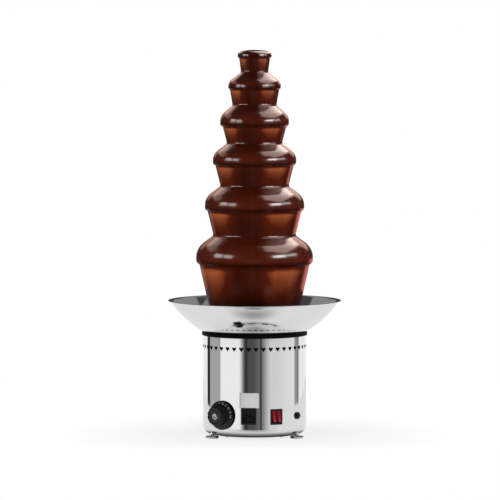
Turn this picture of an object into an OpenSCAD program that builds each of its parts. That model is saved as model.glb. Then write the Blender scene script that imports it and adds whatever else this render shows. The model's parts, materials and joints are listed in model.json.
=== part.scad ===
// Chocolate fountain with a crown and five domes, shown running.
// Millimetres, +Z up, origin on the table under the tower's axis, control panel towards -Y.

/* [Base can] */
// Outside diameter of the drawn can
housing_d = 215; // [205:1:225]
// Sheet thickness of the can
housing_t = 1; // [0.8:0.1:1.4]
// Height of the can from its underside to its top edge
housing_h = 204.5; // [200:0.5:215]
// Outside radius of the can's bottom edge
corner_r = 17.5; // [15:0.5:19]
// Height of the can's underside above the table
floor_gap = 5.5; // [5.5:0.5:8]
// Diameter of the service opening in the underside
service_d = 150; // [130:1:156]
// Thickness of the cover over the service opening
cover_t = 1.2; // [1:0.1:2]
// Width of the cover's seat on the can
cover_lap = 8; // [7:0.5:9]
// Number of heart vents round the can
heart_count = 44; // [36:1:46]
// Width of a heart vent
heart_w = 9.5; // [7:0.5:11]
// Height of a heart vent
heart_h = 9.2; // [6:0.2:10]
// Distance of the hearts' centres below the can's top edge
heart_drop = 22.5; // [18:0.5:26]
// Turn of the heart row about the axis, in degrees
heart_turn = 1.6; // [0:0.2:8]

/* [Feet] */
// Distance of each foot's axis in from the can's outside
foot_inset = 6.5; // [6.5:0.5:9.5]
// Diameter of a foot pad
foot_d = 28; // [22:1:32]
// Height of a foot pad
foot_h = 5.6; // [5:0.1:6]
// Diameter of the threaded stud
stud_d = 6; // [5:0.5:7]
// Length of the stud above the pad
stud_l = 20; // [16:1:22]
// Outside diameter of the threaded socket
socket_d = 10; // [9:0.5:11]
// Height of the socket above the can's underside
socket_h = 22; // [20:1:24]

/* [Bowl] */
// Height of the black ring between can and bowl
gasket_h = 8; // [6:0.5:10]
// How far the black ring stands out beyond the can
gasket_proud = 1.8; // [1:0.1:3]
// Width of the black ring's section
gasket_w = 8.5; // [7:0.5:10]
// Diameter at the top of the bowl's wall, inside the lip
bowl_mouth_d = 349; // [335:1:360]
// Height of the bowl's wall
bowl_wall_h = 60.5; // [54:0.5:68]
// How far the wall bulges from a straight cone
bowl_bulge = 4.8; // [3:0.2:6]
// Width of the lip
bowl_lip_w = 4.5; // [3:0.5:6]
// Rise of the lip
bowl_lip_rise = 2.5; // [1.5:0.5:4]
// Sheet thickness of the bowl
bowl_t = 1.2; // [1:0.1:1.6]
// Depth of the chocolate in the bowl
pool_depth = 30; // [24:1:36]

/* [Tower] */
// Outside diameter of the tower tube
tube_d = 50.8; // [50:0.2:51.4]
// Wall of the tower tube
tube_t = 1.5; // [1.2:0.1:1.8]
// Diameter of the flange that stands on the bowl's floor
tower_flange_d = 76; // [70:1:84]
// Thickness of that flange
tower_flange_t = 2; // [1.5:0.5:3]
// Number of ports at the tube's foot
port_count = 3; // [2:1:4]
// Width of a port
port_w = 22; // [16:1:24]
// Height of a port
port_h = 16; // [12:1:20]
// Largest radius of the chocolate on each dome, from the top dome down
tier_r = [54.2, 71.1, 86.3, 102.9, 121.2]; // [50:0.1:130]
// Height of that radius above the bowl's floor
tier_h = [507.5, 434, 353.3, 260, 151.3]; // [140:0.1:520]
// Radius of each dome's rounded edge, chocolate included
tier_edge = [15.5, 24.5, 26, 31.5, 39]; // [12:0.5:42]
// Fall of each dome's flank from the horizontal, in degrees
tier_fall = [37, 40, 36, 36, 36]; // [32:1:42]
// Radius of the drip edge under each dome
lip_r = [3.5, 7, 6.8, 7.2, 9]; // [3:0.2:10]
// Straight fall above each drip edge
lip_fall = [3.6, 4.2, 3.9, 4.2, 4.6]; // [3:0.2:6]
// Lean of each curtain towards the axis, in degrees
curtain_lean = [9.9, 14.2, 13.9, 13.7, 12.7]; // [8:0.1:15]
// Thickness of the chocolate on a dome
film_t = 2.6; // [2:0.1:3.2]
// Thickness of a falling curtain
curtain_t = 2.8; // [2.2:0.1:3.4]
// Sheet thickness of a dome
dome_t = 1.2; // [1:0.1:1.5]
// Height of the sleeve that guides each dome on the tube
sleeve_h = 14; // [10:1:16]
// Wall of that sleeve
sleeve_t = 2; // [1.5:0.1:2.4]
// Height of the stop ring under each sleeve
stop_h = 4; // [3:0.5:5]
// Largest radius of the chocolate on the crown
crown_r = 35.5; // [34.5:0.1:37]
// Height of that radius above the bowl's floor
crown_h = 570; // [564:1:580]
// Radius of the crown's rounded edge, chocolate included
crown_edge = 9; // [8:0.5:9.5]
// Rise of the chocolate over the middle of the crown
crown_rise = 2.2; // [1:0.2:4]
// Radius of the drip edge under the crown
crown_lip_r = 3.6; // [3:0.1:4]
// Straight fall above the crown's drip edge
crown_lip_fall = 2.6; // [2:0.1:3.4]
// Lean of the crown's curtain, in degrees
crown_lean = 7.6; // [6:0.1:8]
// Radius of the crown cup's rim
crown_rim_r = 31.4; // [30.8:0.1:31.8]

/* [Auger and drive] */
// Diameter of the auger's shaft
auger_d = 16; // [15:0.5:18]
// Diameter over the auger's flight
flight_d = 44; // [42:0.5:45]
// Rise of the flight in one turn
flight_pitch = 60; // [50:1:70]
// Thickness of the flight, measured round the shaft
flight_t = 3; // [2.5:0.5:4]
// Diameter of the drive shaft
drive_d = 11; // [10:0.5:12]
// Length of the drive shaft inside the auger
drive_reach = 22; // [18:1:26]
// Diameter of the pin that carries the auger round
pin_d = 4; // [3:0.5:5]
// Gear module
gear_m = 1.25; // [1.2:0.05:1.3]
// Teeth of the motor's pinion
pinion_teeth = 12; // [12:1:14]
// Teeth of the drive gear
gear_teeth = 72; // [66:1:74]
// Width of the gears
gear_h = 12; // [10:1:14]
// Pressure angle of the teeth
gear_angle = 25; // [22:1:26]
// Play between meshing teeth
gear_play = 0.3; // [0.2:0.05:0.4]
// Wall of the gear case
case_t = 4; // [3:0.5:5]
// Height of the posts that hang the gear case from the top plate
post_h = 14; // [12:1:18]
// Diameter of those posts
post_d = 11; // [10:0.5:13]
// Depth of the top plate's underside below the can's top edge
plate_drop = 10.5; // [9:0.5:12]
// Thickness of the top plate
plate_t = 2.5; // [2:0.1:3]
// Diameter of the motor
motor_d = 76; // [70:1:80]
// Height of the motor
motor_h = 72; // [66:1:80]
// Wall of the motor's can
motor_t = 1.5; // [1.2:0.1:2]
// Diameter of the motor's rotor
rotor_d = 31; // [28:0.5:33]
// Diameter of the motor's shaft
rotor_shaft_d = 8; // [7:0.5:9]
// Thickness of the heater ring
heater_t = 5; // [4:0.5:6]
// Outside diameter of the heater ring
heater_d = 172; // [150:1:176]
// Inside diameter of the heater ring
heater_bore = 70; // [60:1:80]

/* [Control panel] */
// Height of the controls' centre line above the table
panel_z = 51; // [48:0.5:54]
// Height of the rocker switch's centre
switch_z = 49; // [48:0.5:54]
// Height of the reset button's centre
reset_z = 48; // [47:0.5:54]
// Angle of the knob from the front, positive to the right
knob_az = -38; // [-40:0.5:-34]
// Angle of the mains inlet
inlet_az = -6.4; // [-8:0.1:-5]
// Angle of the rocker switch
switch_az = 24.6; // [23:0.1:27]
// Angle of the reset button
reset_az = 54.5; // [54:0.5:62]
// Diameter of the knob's numbered skirt
knob_d = 60; // [52:1:64]
// Diameter of the knob's grip
grip_d = 40; // [34:1:44]
// How far the grip stands out from the can
knob_reach = 25.5; // [24:0.5:30]
// Number of finger flutes round the grip
flute_count = 12; // [8:1:16]
// Diameter of the bright cap in the grip
knob_cap_d = 13.5; // [10:0.5:16]
// Width of the mains inlet's bezel
inlet_w = 31.5; // [29:0.5:32]
// Height of the mains inlet's bezel
inlet_h = 34; // [33:0.5:36]
// Width of the rocker switch's bezel
switch_w = 25.5; // [25:0.5:28]
// Height of the rocker switch's bezel
switch_h = 32; // [31.5:0.5:34]
// Width of one rocker
rocker_w = 8.4; // [8:0.1:8.8]
// Length of one rocker
rocker_l = 22.4; // [21.6:0.2:24.8]
// Swing of a rocker from one stop to the other, in degrees
rocker_swing = 20; // [16:1:22]
// Width across the flats of the reset button's nut
reset_nut_w = 14; // [14:0.5:15]
// Diameter of the reset button
reset_d = 8; // [6:0.5:8.4]
// How far the reset button stands out from the can
reset_reach = 6.4; // [6:0.2:8]

/* [Clearances] */
// Gap round a turning shaft, per side
run_gap = 0.05; // [0.03:0.01:0.08]
// Gap of a sliding or seated piece
seat_gap = 0.2; // [0.15:0.05:0.3]
// Gap between chocolate and metal
film_gap = 0.25; // [0.2:0.05:0.4]

/* [Hidden] */
$fn = 96;
eps = 0.5;

// Heights of the stack, from the table up
can_r = housing_d / 2;
can_bore_r = can_r - housing_t;
can_z = floor_gap;
can_top = can_z + housing_h;
plate_z = can_top - plate_drop;
plate_r = can_bore_r - seat_gap;
plate_rim_t = 2;
bowl_z = can_top + gasket_h;
tower_z = bowl_z + bowl_t;
pool_z = tower_z + pool_depth;
heater_z = bowl_z - seat_gap - heater_t;

// Feet, rings and fasteners of the base
foot_reach = can_r - foot_inset;
gasket_r = can_r + gasket_proud;
service_r = service_d / 2;
cover_r = service_r + cover_lap;
cover_screw_r = service_r + cover_lap / 2;
cover_screw_d = 4;
screw_head_h = 2.2;
bowl_stud_d = 6;
bowl_stud_r = gasket_r - gasket_w - bowl_stud_d;
stud_hole_d = bowl_stud_d + 4 * seat_gap;
wire_hole_d = 8;
bowl_nut_h = 5;
bowl_nut_w = 10;
foot_az = [-60, 60, 180];

// Shaft, seal and bearings on the tower's axis
drive_r = drive_d / 2;
bush_t = 3.5;
bush_r = drive_r + bush_t;
boss_t = 4;
boss_r = bush_r + boss_t;
plate_boss_h = 8;
collar_r = boss_r;
collar_h = 13;
collar_sink = 3;
seal_r = bush_r;
auger_r = auger_d / 2;
auger_gap = 3;
auger_z = tower_z + collar_h + auger_gap;
pin_rise = 8;
pin_z = auger_z + pin_rise;
pin_l = auger_d - 1;

// Gear train: pinion on the motor's axis, gear on the tower's axis
gear_gap = 2;
pinion_r = gear_m * pinion_teeth / 2;
gear_r = gear_m * gear_teeth / 2;
gear_cd = pinion_r + gear_r;
case_bore_r = gear_r + gear_m + gear_gap;
case_r = case_bore_r + case_t;
nose_bore_r = pinion_r + gear_m + gear_gap;
nose_r = nose_bore_r + case_t;
lid_t = 4;
lid_top = plate_z - post_h;
case_top = lid_top - lid_t;
case_floor = case_top - gear_h - 2 * gear_gap;
case_z = case_floor - case_t;
gear_z = case_floor + gear_gap;
bush_drop = 10;
bolt_d = 4;
bolt_head_d = 7;
bolt_head_h = 3;
bolt_az = [-160, -20, 28, 152];
bolt_r = case_r + post_d / 2 - 2;

// Motor under the gear case, behind the tower's axis
motor_r = motor_d / 2;
motor_top = case_z - seat_gap;
motor_z = motor_top - motor_h;
endcap_t = 3;
endcap_z = motor_top - endcap_t;
rotor_r = rotor_d / 2;
rotor_shaft_r = rotor_shaft_d / 2;
air_gap = 0.6;
core_h = motor_h * 0.5;
core_z = motor_z + motor_h * 0.24;
winding_h = 9;
rotor_bush_r = rotor_shaft_r + 3;
rotor_bush_h = 8;
motor_screw_r = motor_r - 7;
motor_screw_az = [20, 90, 160];

// Tower
tube_r = tube_d / 2;
tube_bore_r = tube_r - tube_t;
crown_cup_rise = 12;
tube_top = tower_z + crown_h - crown_cup_rise;
auger_drop = 5;
auger_top = tube_top - auger_drop;
sleeve_r = tube_r + run_gap;
tier_z = [for (h = tier_h) tower_z + h];
crown_z = tower_z + crown_h;
lip_turn = 70;

// Panel pieces, in a frame whose z points out of the can
bezel_t = 2.4;
neck_r = 5;
neck_reach = 3.6;
spindle_r = 3;
spindle_sink = 2;
spindle_cover = 8;
knob_back = 2;
knob_skirt_t = 3.4;
knob_cap_t = 1.2;
thermostat_size = [30, 36, 26];
panel_nut_h = 2.6;
thermostat_nut_w = 14;
inlet_tub = [26.4, 30, 26];
socket_size = [24.4, 16.4];
socket_depth = 17;
socket_y = -5.8;
socket_bevel = 4.5;
blade_size = [2, 4];
blade_l = 12;
blade_tail = 7;
blade_at = [[-7, socket_y - 1], [7, socket_y - 1], [0, socket_y + 3]];
drawer_size = [19.6, 7.2];
drawer_y = 9.6;
drawer_depth = 19;
switch_tub = [22.4, 28.6, 20];
window_size = [rocker_w + 2 * seat_gap, rocker_l + 2.4];
window_depth = 13;
rocker_x = rocker_w / 2 + 1.4;
pivot_z = -1.5;
pivot_r = 1.1;
pivot_l = rocker_w + 2 * seat_gap + 0.6;
breaker_size = [14, 30, 26];
breaker_neck_r = 6;
breaker_neck_reach = 4.2;
reset_depth = 8;
reset_travel = 2.5;

// Helper shapes

function unit(v) = v / norm(v);

function flip(p) = [for (i = [len(p) - 1 : -1 : 0]) p[i]];

// Points on an arc about c from angle a0 to a1
function arc(c, r, a0, a1, n) =
    [for (k = [0:n]) c + r * [cos(a0 + (a1 - a0) * k / n), sin(a0 + (a1 - a0) * k / n)]];

// A line moved to its left by d, with mitred corners
function beside(p, d) = [
    for (i = [0 : len(p) - 1])
        let (
            a = unit(i > 0 ? p[i] - p[i - 1] : p[1] - p[0]),
            b = unit(i < len(p) - 1 ? p[i + 1] - p[i] : p[i] - p[i - 1]),
            m = unit(a + b),
            n = [-m[1], m[0]]
        )
        p[i] + n * d / (n * [-a[1], a[0]])
];

// Outline of a sheet of thickness d along the left of a line
function sheet(p, d) = concat(p, flip(beside(p, d)));

// Point at an angle from the front and a distance from the axis
function spot(az, r) = [r * sin(az), -r * cos(az)];

module at_spot(az, r, z) {
    translate([spot(az, r)[0], spot(az, r)[1], z]) children();
}

module ring(r, bore, z, h) {
    translate([0, 0, z]) difference() {
        cylinder(r = r, h = h);
        translate([0, 0, -eps]) cylinder(r = bore, h = h + 2 * eps);
    }
}

module hexagon(w, h) {
    cylinder(d = w / cos(30), h = h, $fn = 6);
}

module block(size, z) {
    translate([-size[0] / 2, -size[1] / 2, z]) cube(size);
}

// Places children on the can: x to the right, y up, z outwards from the can's surface
module on_panel(az, z = panel_z) {
    rotate([0, 0, az]) translate([0, -can_r, z]) rotate([90, 0, 0]) children();
}

// Place in the part's own frame of a point that is given in the panel's frame
function panel_point(az, p, z = panel_z) =
    let (q = [p[0], -can_r - p[2]])
    [q[0] * cos(az) - q[1] * sin(az), q[0] * sin(az) + q[1] * cos(az), z + p[1]];

// Depth at which a flat piece of width w clears the inside of the can
function behind_can(w) = can_r - sqrt(can_bore_r * can_bore_r - w * w / 4) + seat_gap;

// Base can and feet

function can_line() = concat(
    [[service_r, can_z]],
    arc([can_r - corner_r, can_z + corner_r], corner_r, -90, 0, 10),
    [[can_r, can_top]]
);

// A heart with its point down: two round lobes and two straight sides
function heart_side() = let (lobe = heart_w / 4)
    arc([lobe, heart_h / 2 - lobe], lobe, -20, 160, 6);

function heart_outline() = concat(
    [[0, -heart_h / 2]],
    heart_side(),
    [for (p = flip(heart_side())) [-p[0], p[1]]]
);

module heart_vents() {
    for (k = [0 : heart_count - 1])
        rotate([0, 0, heart_turn + 360 * k / heart_count])
            translate([0, -can_r, can_top - heart_drop])
                rotate([90, 0, 0])
                    linear_extrude(height = 6 * housing_t, center = true) polygon(heart_outline());
}

module panel_cuts() {
    through = 20 * housing_t;
    play = 2 * seat_gap;
    on_panel(knob_az) cylinder(r = neck_r + seat_gap, h = through, center = true);
    on_panel(inlet_az) cube([inlet_tub[0] + play, inlet_tub[1] + play, through], center = true);
    on_panel(switch_az, switch_z)
        cube([switch_tub[0] + play, switch_tub[1] + play, through], center = true);
    on_panel(reset_az, reset_z) cylinder(r = breaker_neck_r + seat_gap, h = through, center = true);
}

module cover_screw_holes() {
    for (k = [0:3])
        at_spot(45 + 90 * k, cover_screw_r, can_z - eps)
            cylinder(d = cover_screw_d + 2 * seat_gap, h = housing_t + cover_t + 2 * eps);
}

module housing_can() {
    color("gainsboro") difference() {
        rotate_extrude() polygon(sheet(can_line(), housing_t));
        heart_vents();
        panel_cuts();
        cover_screw_holes();
        for (az = foot_az)
            at_spot(az, foot_reach, can_z - eps)
                cylinder(d = stud_d + 4 * run_gap, h = corner_r + 2 * eps);
    }
}

// Room inside the can, less a gap all round
module can_room() {
    rotate_extrude() polygon(concat(
        beside(can_line(), housing_t + seat_gap),
        [[0, can_top], [0, can_z + housing_t + seat_gap]]
    ));
}

module bottom_cover() {
    slot_count = 12;
    slot = [26, 3];
    color("lightgray") difference() {
        translate([0, 0, can_z + housing_t]) cylinder(r = cover_r, h = cover_t);
        cover_screw_holes();
        for (k = [0 : slot_count - 1])
            rotate([0, 0, 360 * k / slot_count])
                translate([service_r / 2, 0, can_z + housing_t + cover_t / 2])
                    cube([slot[0], slot[1], 2 * cover_t], center = true);
    }
}

module cover_screws() {
    color("silver") for (k = [0:3])
        at_spot(45 + 90 * k, cover_screw_r, can_z - screw_head_h) {
            cylinder(d = 1.8 * cover_screw_d, h = screw_head_h);
            cylinder(d = cover_screw_d, h = screw_head_h + housing_t + cover_t + 3);
        }
}

module foot_sockets() {
    color("dimgray") for (az = foot_az)
        intersection() {
            at_spot(az, foot_reach, can_z) difference() {
                cylinder(d = socket_d, h = socket_h);
                translate([0, 0, -eps]) cylinder(d = stud_d + 2 * run_gap, h = socket_h + 2 * eps);
            }
            can_room();
        }
}

module foot(az) {
    pad_r = foot_d / 2;
    edge_h = 1.6;
    color("silver") at_spot(az, foot_reach, 0) rotate_extrude() polygon(concat(
        [[0, 0], [pad_r - 1, 0]],
        [[pad_r, edge_h]],
        [for (k = [1:5]) [pad_r * cos(15 * k), edge_h + (foot_h - edge_h) * sin(15 * k) / sin(75)]],
        [[stud_d / 2, foot_h], [stud_d / 2, foot_h + stud_l], [0, foot_h + stud_l]]
    ));
}

// Top plate, ring and bowl

module post_holes() {
    for (az = bolt_az)
        rotate([0, 0, az]) translate([bolt_r, 0, 0]) cylinder(d = bolt_d + 2 * seat_gap, h = can_top);
}

module stud_places() {
    for (k = [0:3]) at_spot(45 + 90 * k, bowl_stud_r, 0) children();
}

module top_plate() {
    color("lightgray") difference() {
        union() {
            translate([0, 0, plate_z]) cylinder(r = plate_r, h = plate_t);
            ring(plate_r, plate_r - plate_rim_t, plate_z, plate_drop);
            translate([0, 0, plate_z - plate_boss_h]) cylinder(r = boss_r, h = plate_boss_h + plate_t);
        }
        translate([0, 0, plate_z - plate_boss_h - eps])
            cylinder(r = bush_r + run_gap, h = plate_boss_h + plate_t + 2 * eps);
        post_holes();
        stud_places() translate([0, 0, plate_z - eps]) cylinder(d = stud_hole_d, h = plate_t + 2 * eps);
        for (p = [bulb_stem, heater_feed])
            translate([p[0], p[1], plate_z - eps]) cylinder(d = wire_hole_d, h = plate_t + 2 * eps);
    }
}

module gasket_ring() {
    edge = 1;
    inner = gasket_r - gasket_w;
    color("black") rotate_extrude() polygon([
        [inner, can_top], [gasket_r - edge, can_top], [gasket_r, can_top + edge],
        [gasket_r, bowl_z - edge], [gasket_r - edge, bowl_z], [inner, bowl_z]
    ]);
}

// The wall is an arc from the floor's edge to the mouth, bulging outwards
bowl_floor_proud = 0.5;
bowl_floor_edge = [can_r + bowl_floor_proud, bowl_z];
bowl_mouth = [bowl_mouth_d / 2, bowl_z + bowl_wall_h];
bowl_chord = bowl_mouth - bowl_floor_edge;
bowl_wall_r = (bowl_chord * bowl_chord / 4 + bowl_bulge * bowl_bulge) / (2 * bowl_bulge);
bowl_inward = unit([-bowl_chord[1], bowl_chord[0]]);
bowl_centre = (bowl_floor_edge + bowl_mouth) / 2 + bowl_inward * (bowl_wall_r - bowl_bulge);

// Angle on an arc about the bowl's centre at height z
function bowl_angle(r, z) = asin((z - bowl_centre[1]) / r);

function bowl_line() = concat(
    [[collar_r + seat_gap, bowl_z]],
    arc(bowl_centre, bowl_wall_r,
        bowl_angle(bowl_wall_r, bowl_z), bowl_angle(bowl_wall_r, bowl_mouth[1]), 14),
    [bowl_mouth + [bowl_lip_w, bowl_lip_rise]]
);

module bowl() {
    color("gainsboro") rotate_extrude() polygon(sheet(bowl_line(), bowl_t));
}

module bowl_studs() {
    tail = 3;
    nut_z = plate_z - bowl_nut_h;
    color("silver") stud_places() {
        translate([0, 0, nut_z - tail]) cylinder(d = bowl_stud_d, h = bowl_z - nut_z + tail);
        translate([0, 0, nut_z]) hexagon(bowl_nut_w, bowl_nut_h);
    }
}

module bowl_collar() {
    color("silver")
        ring(collar_r, seal_r + run_gap, bowl_z - collar_sink, collar_sink + bowl_t + collar_h);
}

module shaft_seal() {
    color("black") ring(seal_r, drive_r + run_gap, tower_z, collar_h);
}

// Room round the bowl's studs and the sensing bulb, which a wide heater would meet
module heater_room() {
    stud_places() translate([0, 0, plate_z]) cylinder(d = stud_hole_d, h = bowl_z - plate_z);
    bulb(seat_gap);
}

module heater_ring() {
    color("darkgray") difference() {
        ring(heater_d / 2, heater_bore / 2, heater_z, heater_t);
        heater_room();
    }
}

module insulation_pad() {
    bottom = plate_z + plate_t;
    top = heater_z - seat_gap;
    color("beige") difference() {
        ring(heater_d / 2, heater_bore / 2, bottom, top - bottom);
        heater_room();
        translate([heater_feed[0], heater_feed[1], bottom - eps])
            cylinder(d = wire_hole_d, h = top - bottom + 2 * eps);
    }
}

// Gears, motor and shaft

// Half the angle that a tooth takes up at radius r, from the involute of its base circle
function involute(a) = tan(a) - a * PI / 180;
function tooth_half(r, pitch_r, teeth) =
    let (
        base_r = pitch_r * cos(gear_angle),
        a = r > base_r ? acos(base_r / r) : 0
    )
    90 / teeth - gear_play / pitch_r * 45 / PI + (involute(gear_angle) - involute(a)) * 180 / PI;

function gear_outline(teeth) =
    let (
        pitch_r = gear_m * teeth / 2,
        root_r = pitch_r - 1.25 * gear_m,
        tip_r = pitch_r + gear_m,
        steps = [for (k = [0:4]) root_r + (tip_r - root_r) * k / 4],
        flank = [for (r = steps) [r, tooth_half(r, pitch_r, teeth)]]
    )
    [
        for (t = [0 : teeth - 1], p = concat(flank, flip([for (f = flank) [f[0], -f[1]]])))
            p[0] * [cos(360 * t / teeth - p[1]), sin(360 * t / teeth - p[1])]
    ];

// A gear with a tooth towards the angle aim
module gear(teeth, h, aim) {
    rotate([0, 0, aim]) linear_extrude(height = h) polygon(gear_outline(teeth));
}

module case_outline(big, nose, z, h) {
    translate([0, 0, z]) cylinder(r = big, h = h);
    translate([0, gear_cd, z]) cylinder(r = nose, h = h);
}

module case_lugs(z, h) {
    for (az = bolt_az) rotate([0, 0, az]) translate([bolt_r, 0, z]) cylinder(d = post_d, h = h);
}

module motor_screw_places() {
    for (az = motor_screw_az)
        translate([motor_screw_r * cos(az), gear_cd + motor_screw_r * sin(az), 0]) children();
}

module gear_case() {
    color("gray") difference() {
        union() {
            case_outline(case_r, nose_r, case_z, case_top - case_z);
            translate([0, gear_cd, case_z]) cylinder(r = motor_r, h = case_t);
            case_lugs(case_z, case_top - case_z);
            translate([0, 0, case_z - bush_drop]) cylinder(r = boss_r, h = bush_drop + eps);
        }
        case_outline(case_bore_r, nose_bore_r, case_floor, case_top - case_floor + eps);
        translate([0, 0, case_z - bush_drop - eps])
            cylinder(r = bush_r + run_gap, h = bush_drop + case_t + 2 * eps);
        translate([0, gear_cd, case_z - eps])
            cylinder(r = rotor_bush_r, h = case_t + 2 * eps);
        post_holes();
        motor_screw_places() translate([0, 0, case_z - eps])
            cylinder(d = bolt_d + 2 * seat_gap, h = case_t + 2 * eps);
    }
}

module gear_case_lid() {
    color("darkgray") difference() {
        union() {
            case_outline(case_r, nose_r, case_top, lid_t);
            case_lugs(case_top, lid_t + post_h);
        }
        translate([0, 0, case_top - eps]) cylinder(r = drive_r + 2, h = lid_t + 2 * eps);
        post_holes();
    }
}

module drive_bolts() {
    color("silver") {
        for (az = bolt_az) rotate([0, 0, az]) translate([bolt_r, 0, 0]) {
            translate([0, 0, case_z - bolt_head_h]) cylinder(d = bolt_head_d, h = bolt_head_h);
            translate([0, 0, case_z - bolt_head_h])
                cylinder(d = bolt_d, h = plate_z + plate_t - case_z + bolt_head_h - seat_gap);
        }
        motor_screw_places() {
            translate([0, 0, case_floor]) cylinder(d = bolt_head_d, h = bolt_head_h);
            translate([0, 0, endcap_z + seat_gap])
                cylinder(d = bolt_d, h = case_floor - endcap_z - seat_gap + eps);
        }
    }
}

module motor_can() {
    bore_z = motor_z + motor_t;
    color("slategray") translate([0, gear_cd, 0]) difference() {
        translate([0, 0, motor_z]) cylinder(r = motor_r, h = endcap_z - motor_z);
        difference() {
            translate([0, 0, bore_z]) cylinder(r = motor_r - motor_t, h = endcap_z - bore_z + eps);
            translate([0, 0, bore_z - eps])
                cylinder(r = rotor_bush_r + motor_t, h = rotor_bush_h - motor_t + eps);
        }
        translate([0, 0, motor_z - eps]) cylinder(r = rotor_bush_r + run_gap, h = rotor_bush_h + 2 * eps);
    }
}

module motor_endcap() {
    boss_h = rotor_bush_h - endcap_t;
    color("slategray") translate([0, gear_cd, 0]) difference() {
        union() {
            translate([0, 0, endcap_z]) cylinder(r = motor_r, h = endcap_t);
            translate([0, 0, endcap_z - boss_h]) cylinder(r = rotor_bush_r + motor_t, h = boss_h + eps);
        }
        translate([0, 0, endcap_z - boss_h - eps])
            cylinder(r = rotor_bush_r + run_gap, h = rotor_bush_h + 2 * eps);
        translate([0, -gear_cd, 0]) motor_screw_places() translate([0, 0, endcap_z - eps])
            cylinder(d = bolt_d + 2 * run_gap, h = endcap_t + 2 * eps);
    }
}

module stator_core() {
    color("gray") translate([0, gear_cd, 0])
        ring(motor_r - motor_t - run_gap, rotor_r + air_gap, core_z, core_h);
}

module stator_windings() {
    inner = rotor_r + 3;
    outer = motor_r - motor_t - 4;
    color("sienna") translate([0, gear_cd, 0]) {
        ring(outer, inner, core_z - winding_h, winding_h);
        ring(outer, inner, core_z + core_h, winding_h);
    }
}

module bearings() {
    color("goldenrod") {
        ring(bush_r, drive_r + run_gap, plate_z - plate_boss_h, plate_boss_h + plate_t);
        ring(bush_r, drive_r + run_gap, case_z - bush_drop, bush_drop + case_t);
        translate([0, gear_cd, 0]) {
            ring(rotor_bush_r, rotor_shaft_r + run_gap, motor_z, rotor_bush_h);
            ring(rotor_bush_r, rotor_shaft_r + run_gap, motor_top - rotor_bush_h, rotor_bush_h);
        }
    }
}

module rotor() {
    pinion_z = gear_z - gear_gap / 4;
    color("silver") translate([0, gear_cd, 0]) {
        translate([0, 0, motor_z]) cylinder(r = rotor_shaft_r, h = pinion_z - motor_z + eps);
        translate([0, 0, core_z]) cylinder(r = rotor_r, h = core_h);
        translate([0, 0, pinion_z]) gear(pinion_teeth, gear_h + gear_gap / 2, -90);
    }
}

module drive_gear() {
    tooth_step = 360 / gear_teeth;
    color("ivory") translate([0, 0, gear_z]) difference() {
        gear(gear_teeth, gear_h, 90 + tooth_step / 2);
        translate([0, 0, -eps]) cylinder(r = drive_r + run_gap, h = gear_h + 2 * eps);
    }
}

module drive_shaft() {
    bottom = case_z - bush_drop;
    top = auger_z + drive_reach;
    color("silver") difference() {
        translate([0, 0, bottom]) cylinder(r = drive_r, h = top - bottom);
        translate([0, 0, pin_z]) rotate([0, 90, 0])
            cylinder(d = pin_d + 2 * run_gap, h = 2 * drive_d, center = true);
    }
}

module drive_pin() {
    color("dimgray") translate([0, 0, pin_z]) rotate([0, 90, 0])
        cylinder(d = pin_d, h = pin_l, center = true);
}

module auger_shaft() {
    slot_w = pin_d + 2 * seat_gap;
    slot_top = pin_z + slot_w / 2;
    color("silver") difference() {
        translate([0, 0, auger_z]) cylinder(r = auger_r, h = auger_top - auger_z);
        translate([0, 0, auger_z - eps]) cylinder(r = drive_r + run_gap, h = drive_reach + 2 * eps);
        translate([-auger_d, -slot_w / 2, auger_z - eps])
            cube([2 * auger_d, slot_w, slot_top - auger_z + eps]);
    }
}

module auger_flight() {
    steps_a_turn = 16;
    bottom = pin_z + pin_d;
    end_gap = 6;
    height = auger_top - bottom - end_gap;
    inner = auger_r / cos(180 / steps_a_turn) + run_gap;
    color("silver") translate([0, 0, bottom])
        linear_extrude(
            height = height,
            twist = -360 * height / flight_pitch,
            slices = ceil(steps_a_turn * height / flight_pitch),
            segments = 4
        )
            translate([inner, -flight_t / 2]) square([flight_d / 2 - inner, flight_t]);
}

// Tower

// Centre of a dome's rounded edge, and the place where its straight flank begins at depth d
function edge_centre(i) = [tier_r[i] - tier_edge[i], tier_z[i]];
function flank_start(i, d) =
    edge_centre(i) + (tier_edge[i] - d) * [sin(tier_fall[i]), cos(tier_fall[i])];
function flank_z(i, d, r) = flank_start(i, d)[1] + (flank_start(i, d)[0] - r) * tan(tier_fall[i]);

// A dome's surface at depth d under the chocolate, from radius r at the tube out to its edge
function dome_line(i, d, r) = concat(
    [[r, flank_z(i, d, r)]],
    arc(edge_centre(i), tier_edge[i] - d, 90 - tier_fall[i], 0, 8)
);

// Height of the dome's lower edge, which the chocolate wraps
function dome_foot(i) = tier_z[i] - lip_fall[i] + 1;
function sleeve_top(i) = flank_z(i, film_t, sleeve_r);

module dome(i) {
    outer = tier_r[i] - film_t;
    inner = outer - dome_t;
    sleeve_out = sleeve_r + sleeve_t;
    foot_z = sleeve_top(i) - sleeve_h;
    color("gainsboro") rotate_extrude() polygon(concat(
        dome_line(i, film_t, sleeve_r),
        [[outer, dome_foot(i)], [inner, dome_foot(i)]],
        flip(dome_line(i, film_t + dome_t, sleeve_out)),
        [[sleeve_out, foot_z], [sleeve_r, foot_z]]
    ));
}

module dome_stops() {
    color("silver") for (i = [0 : len(tier_r) - 1])
        ring(sleeve_r + sleeve_t + 1, tube_r + run_gap, sleeve_top(i) - sleeve_h - stop_h, stop_h);
}

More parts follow.
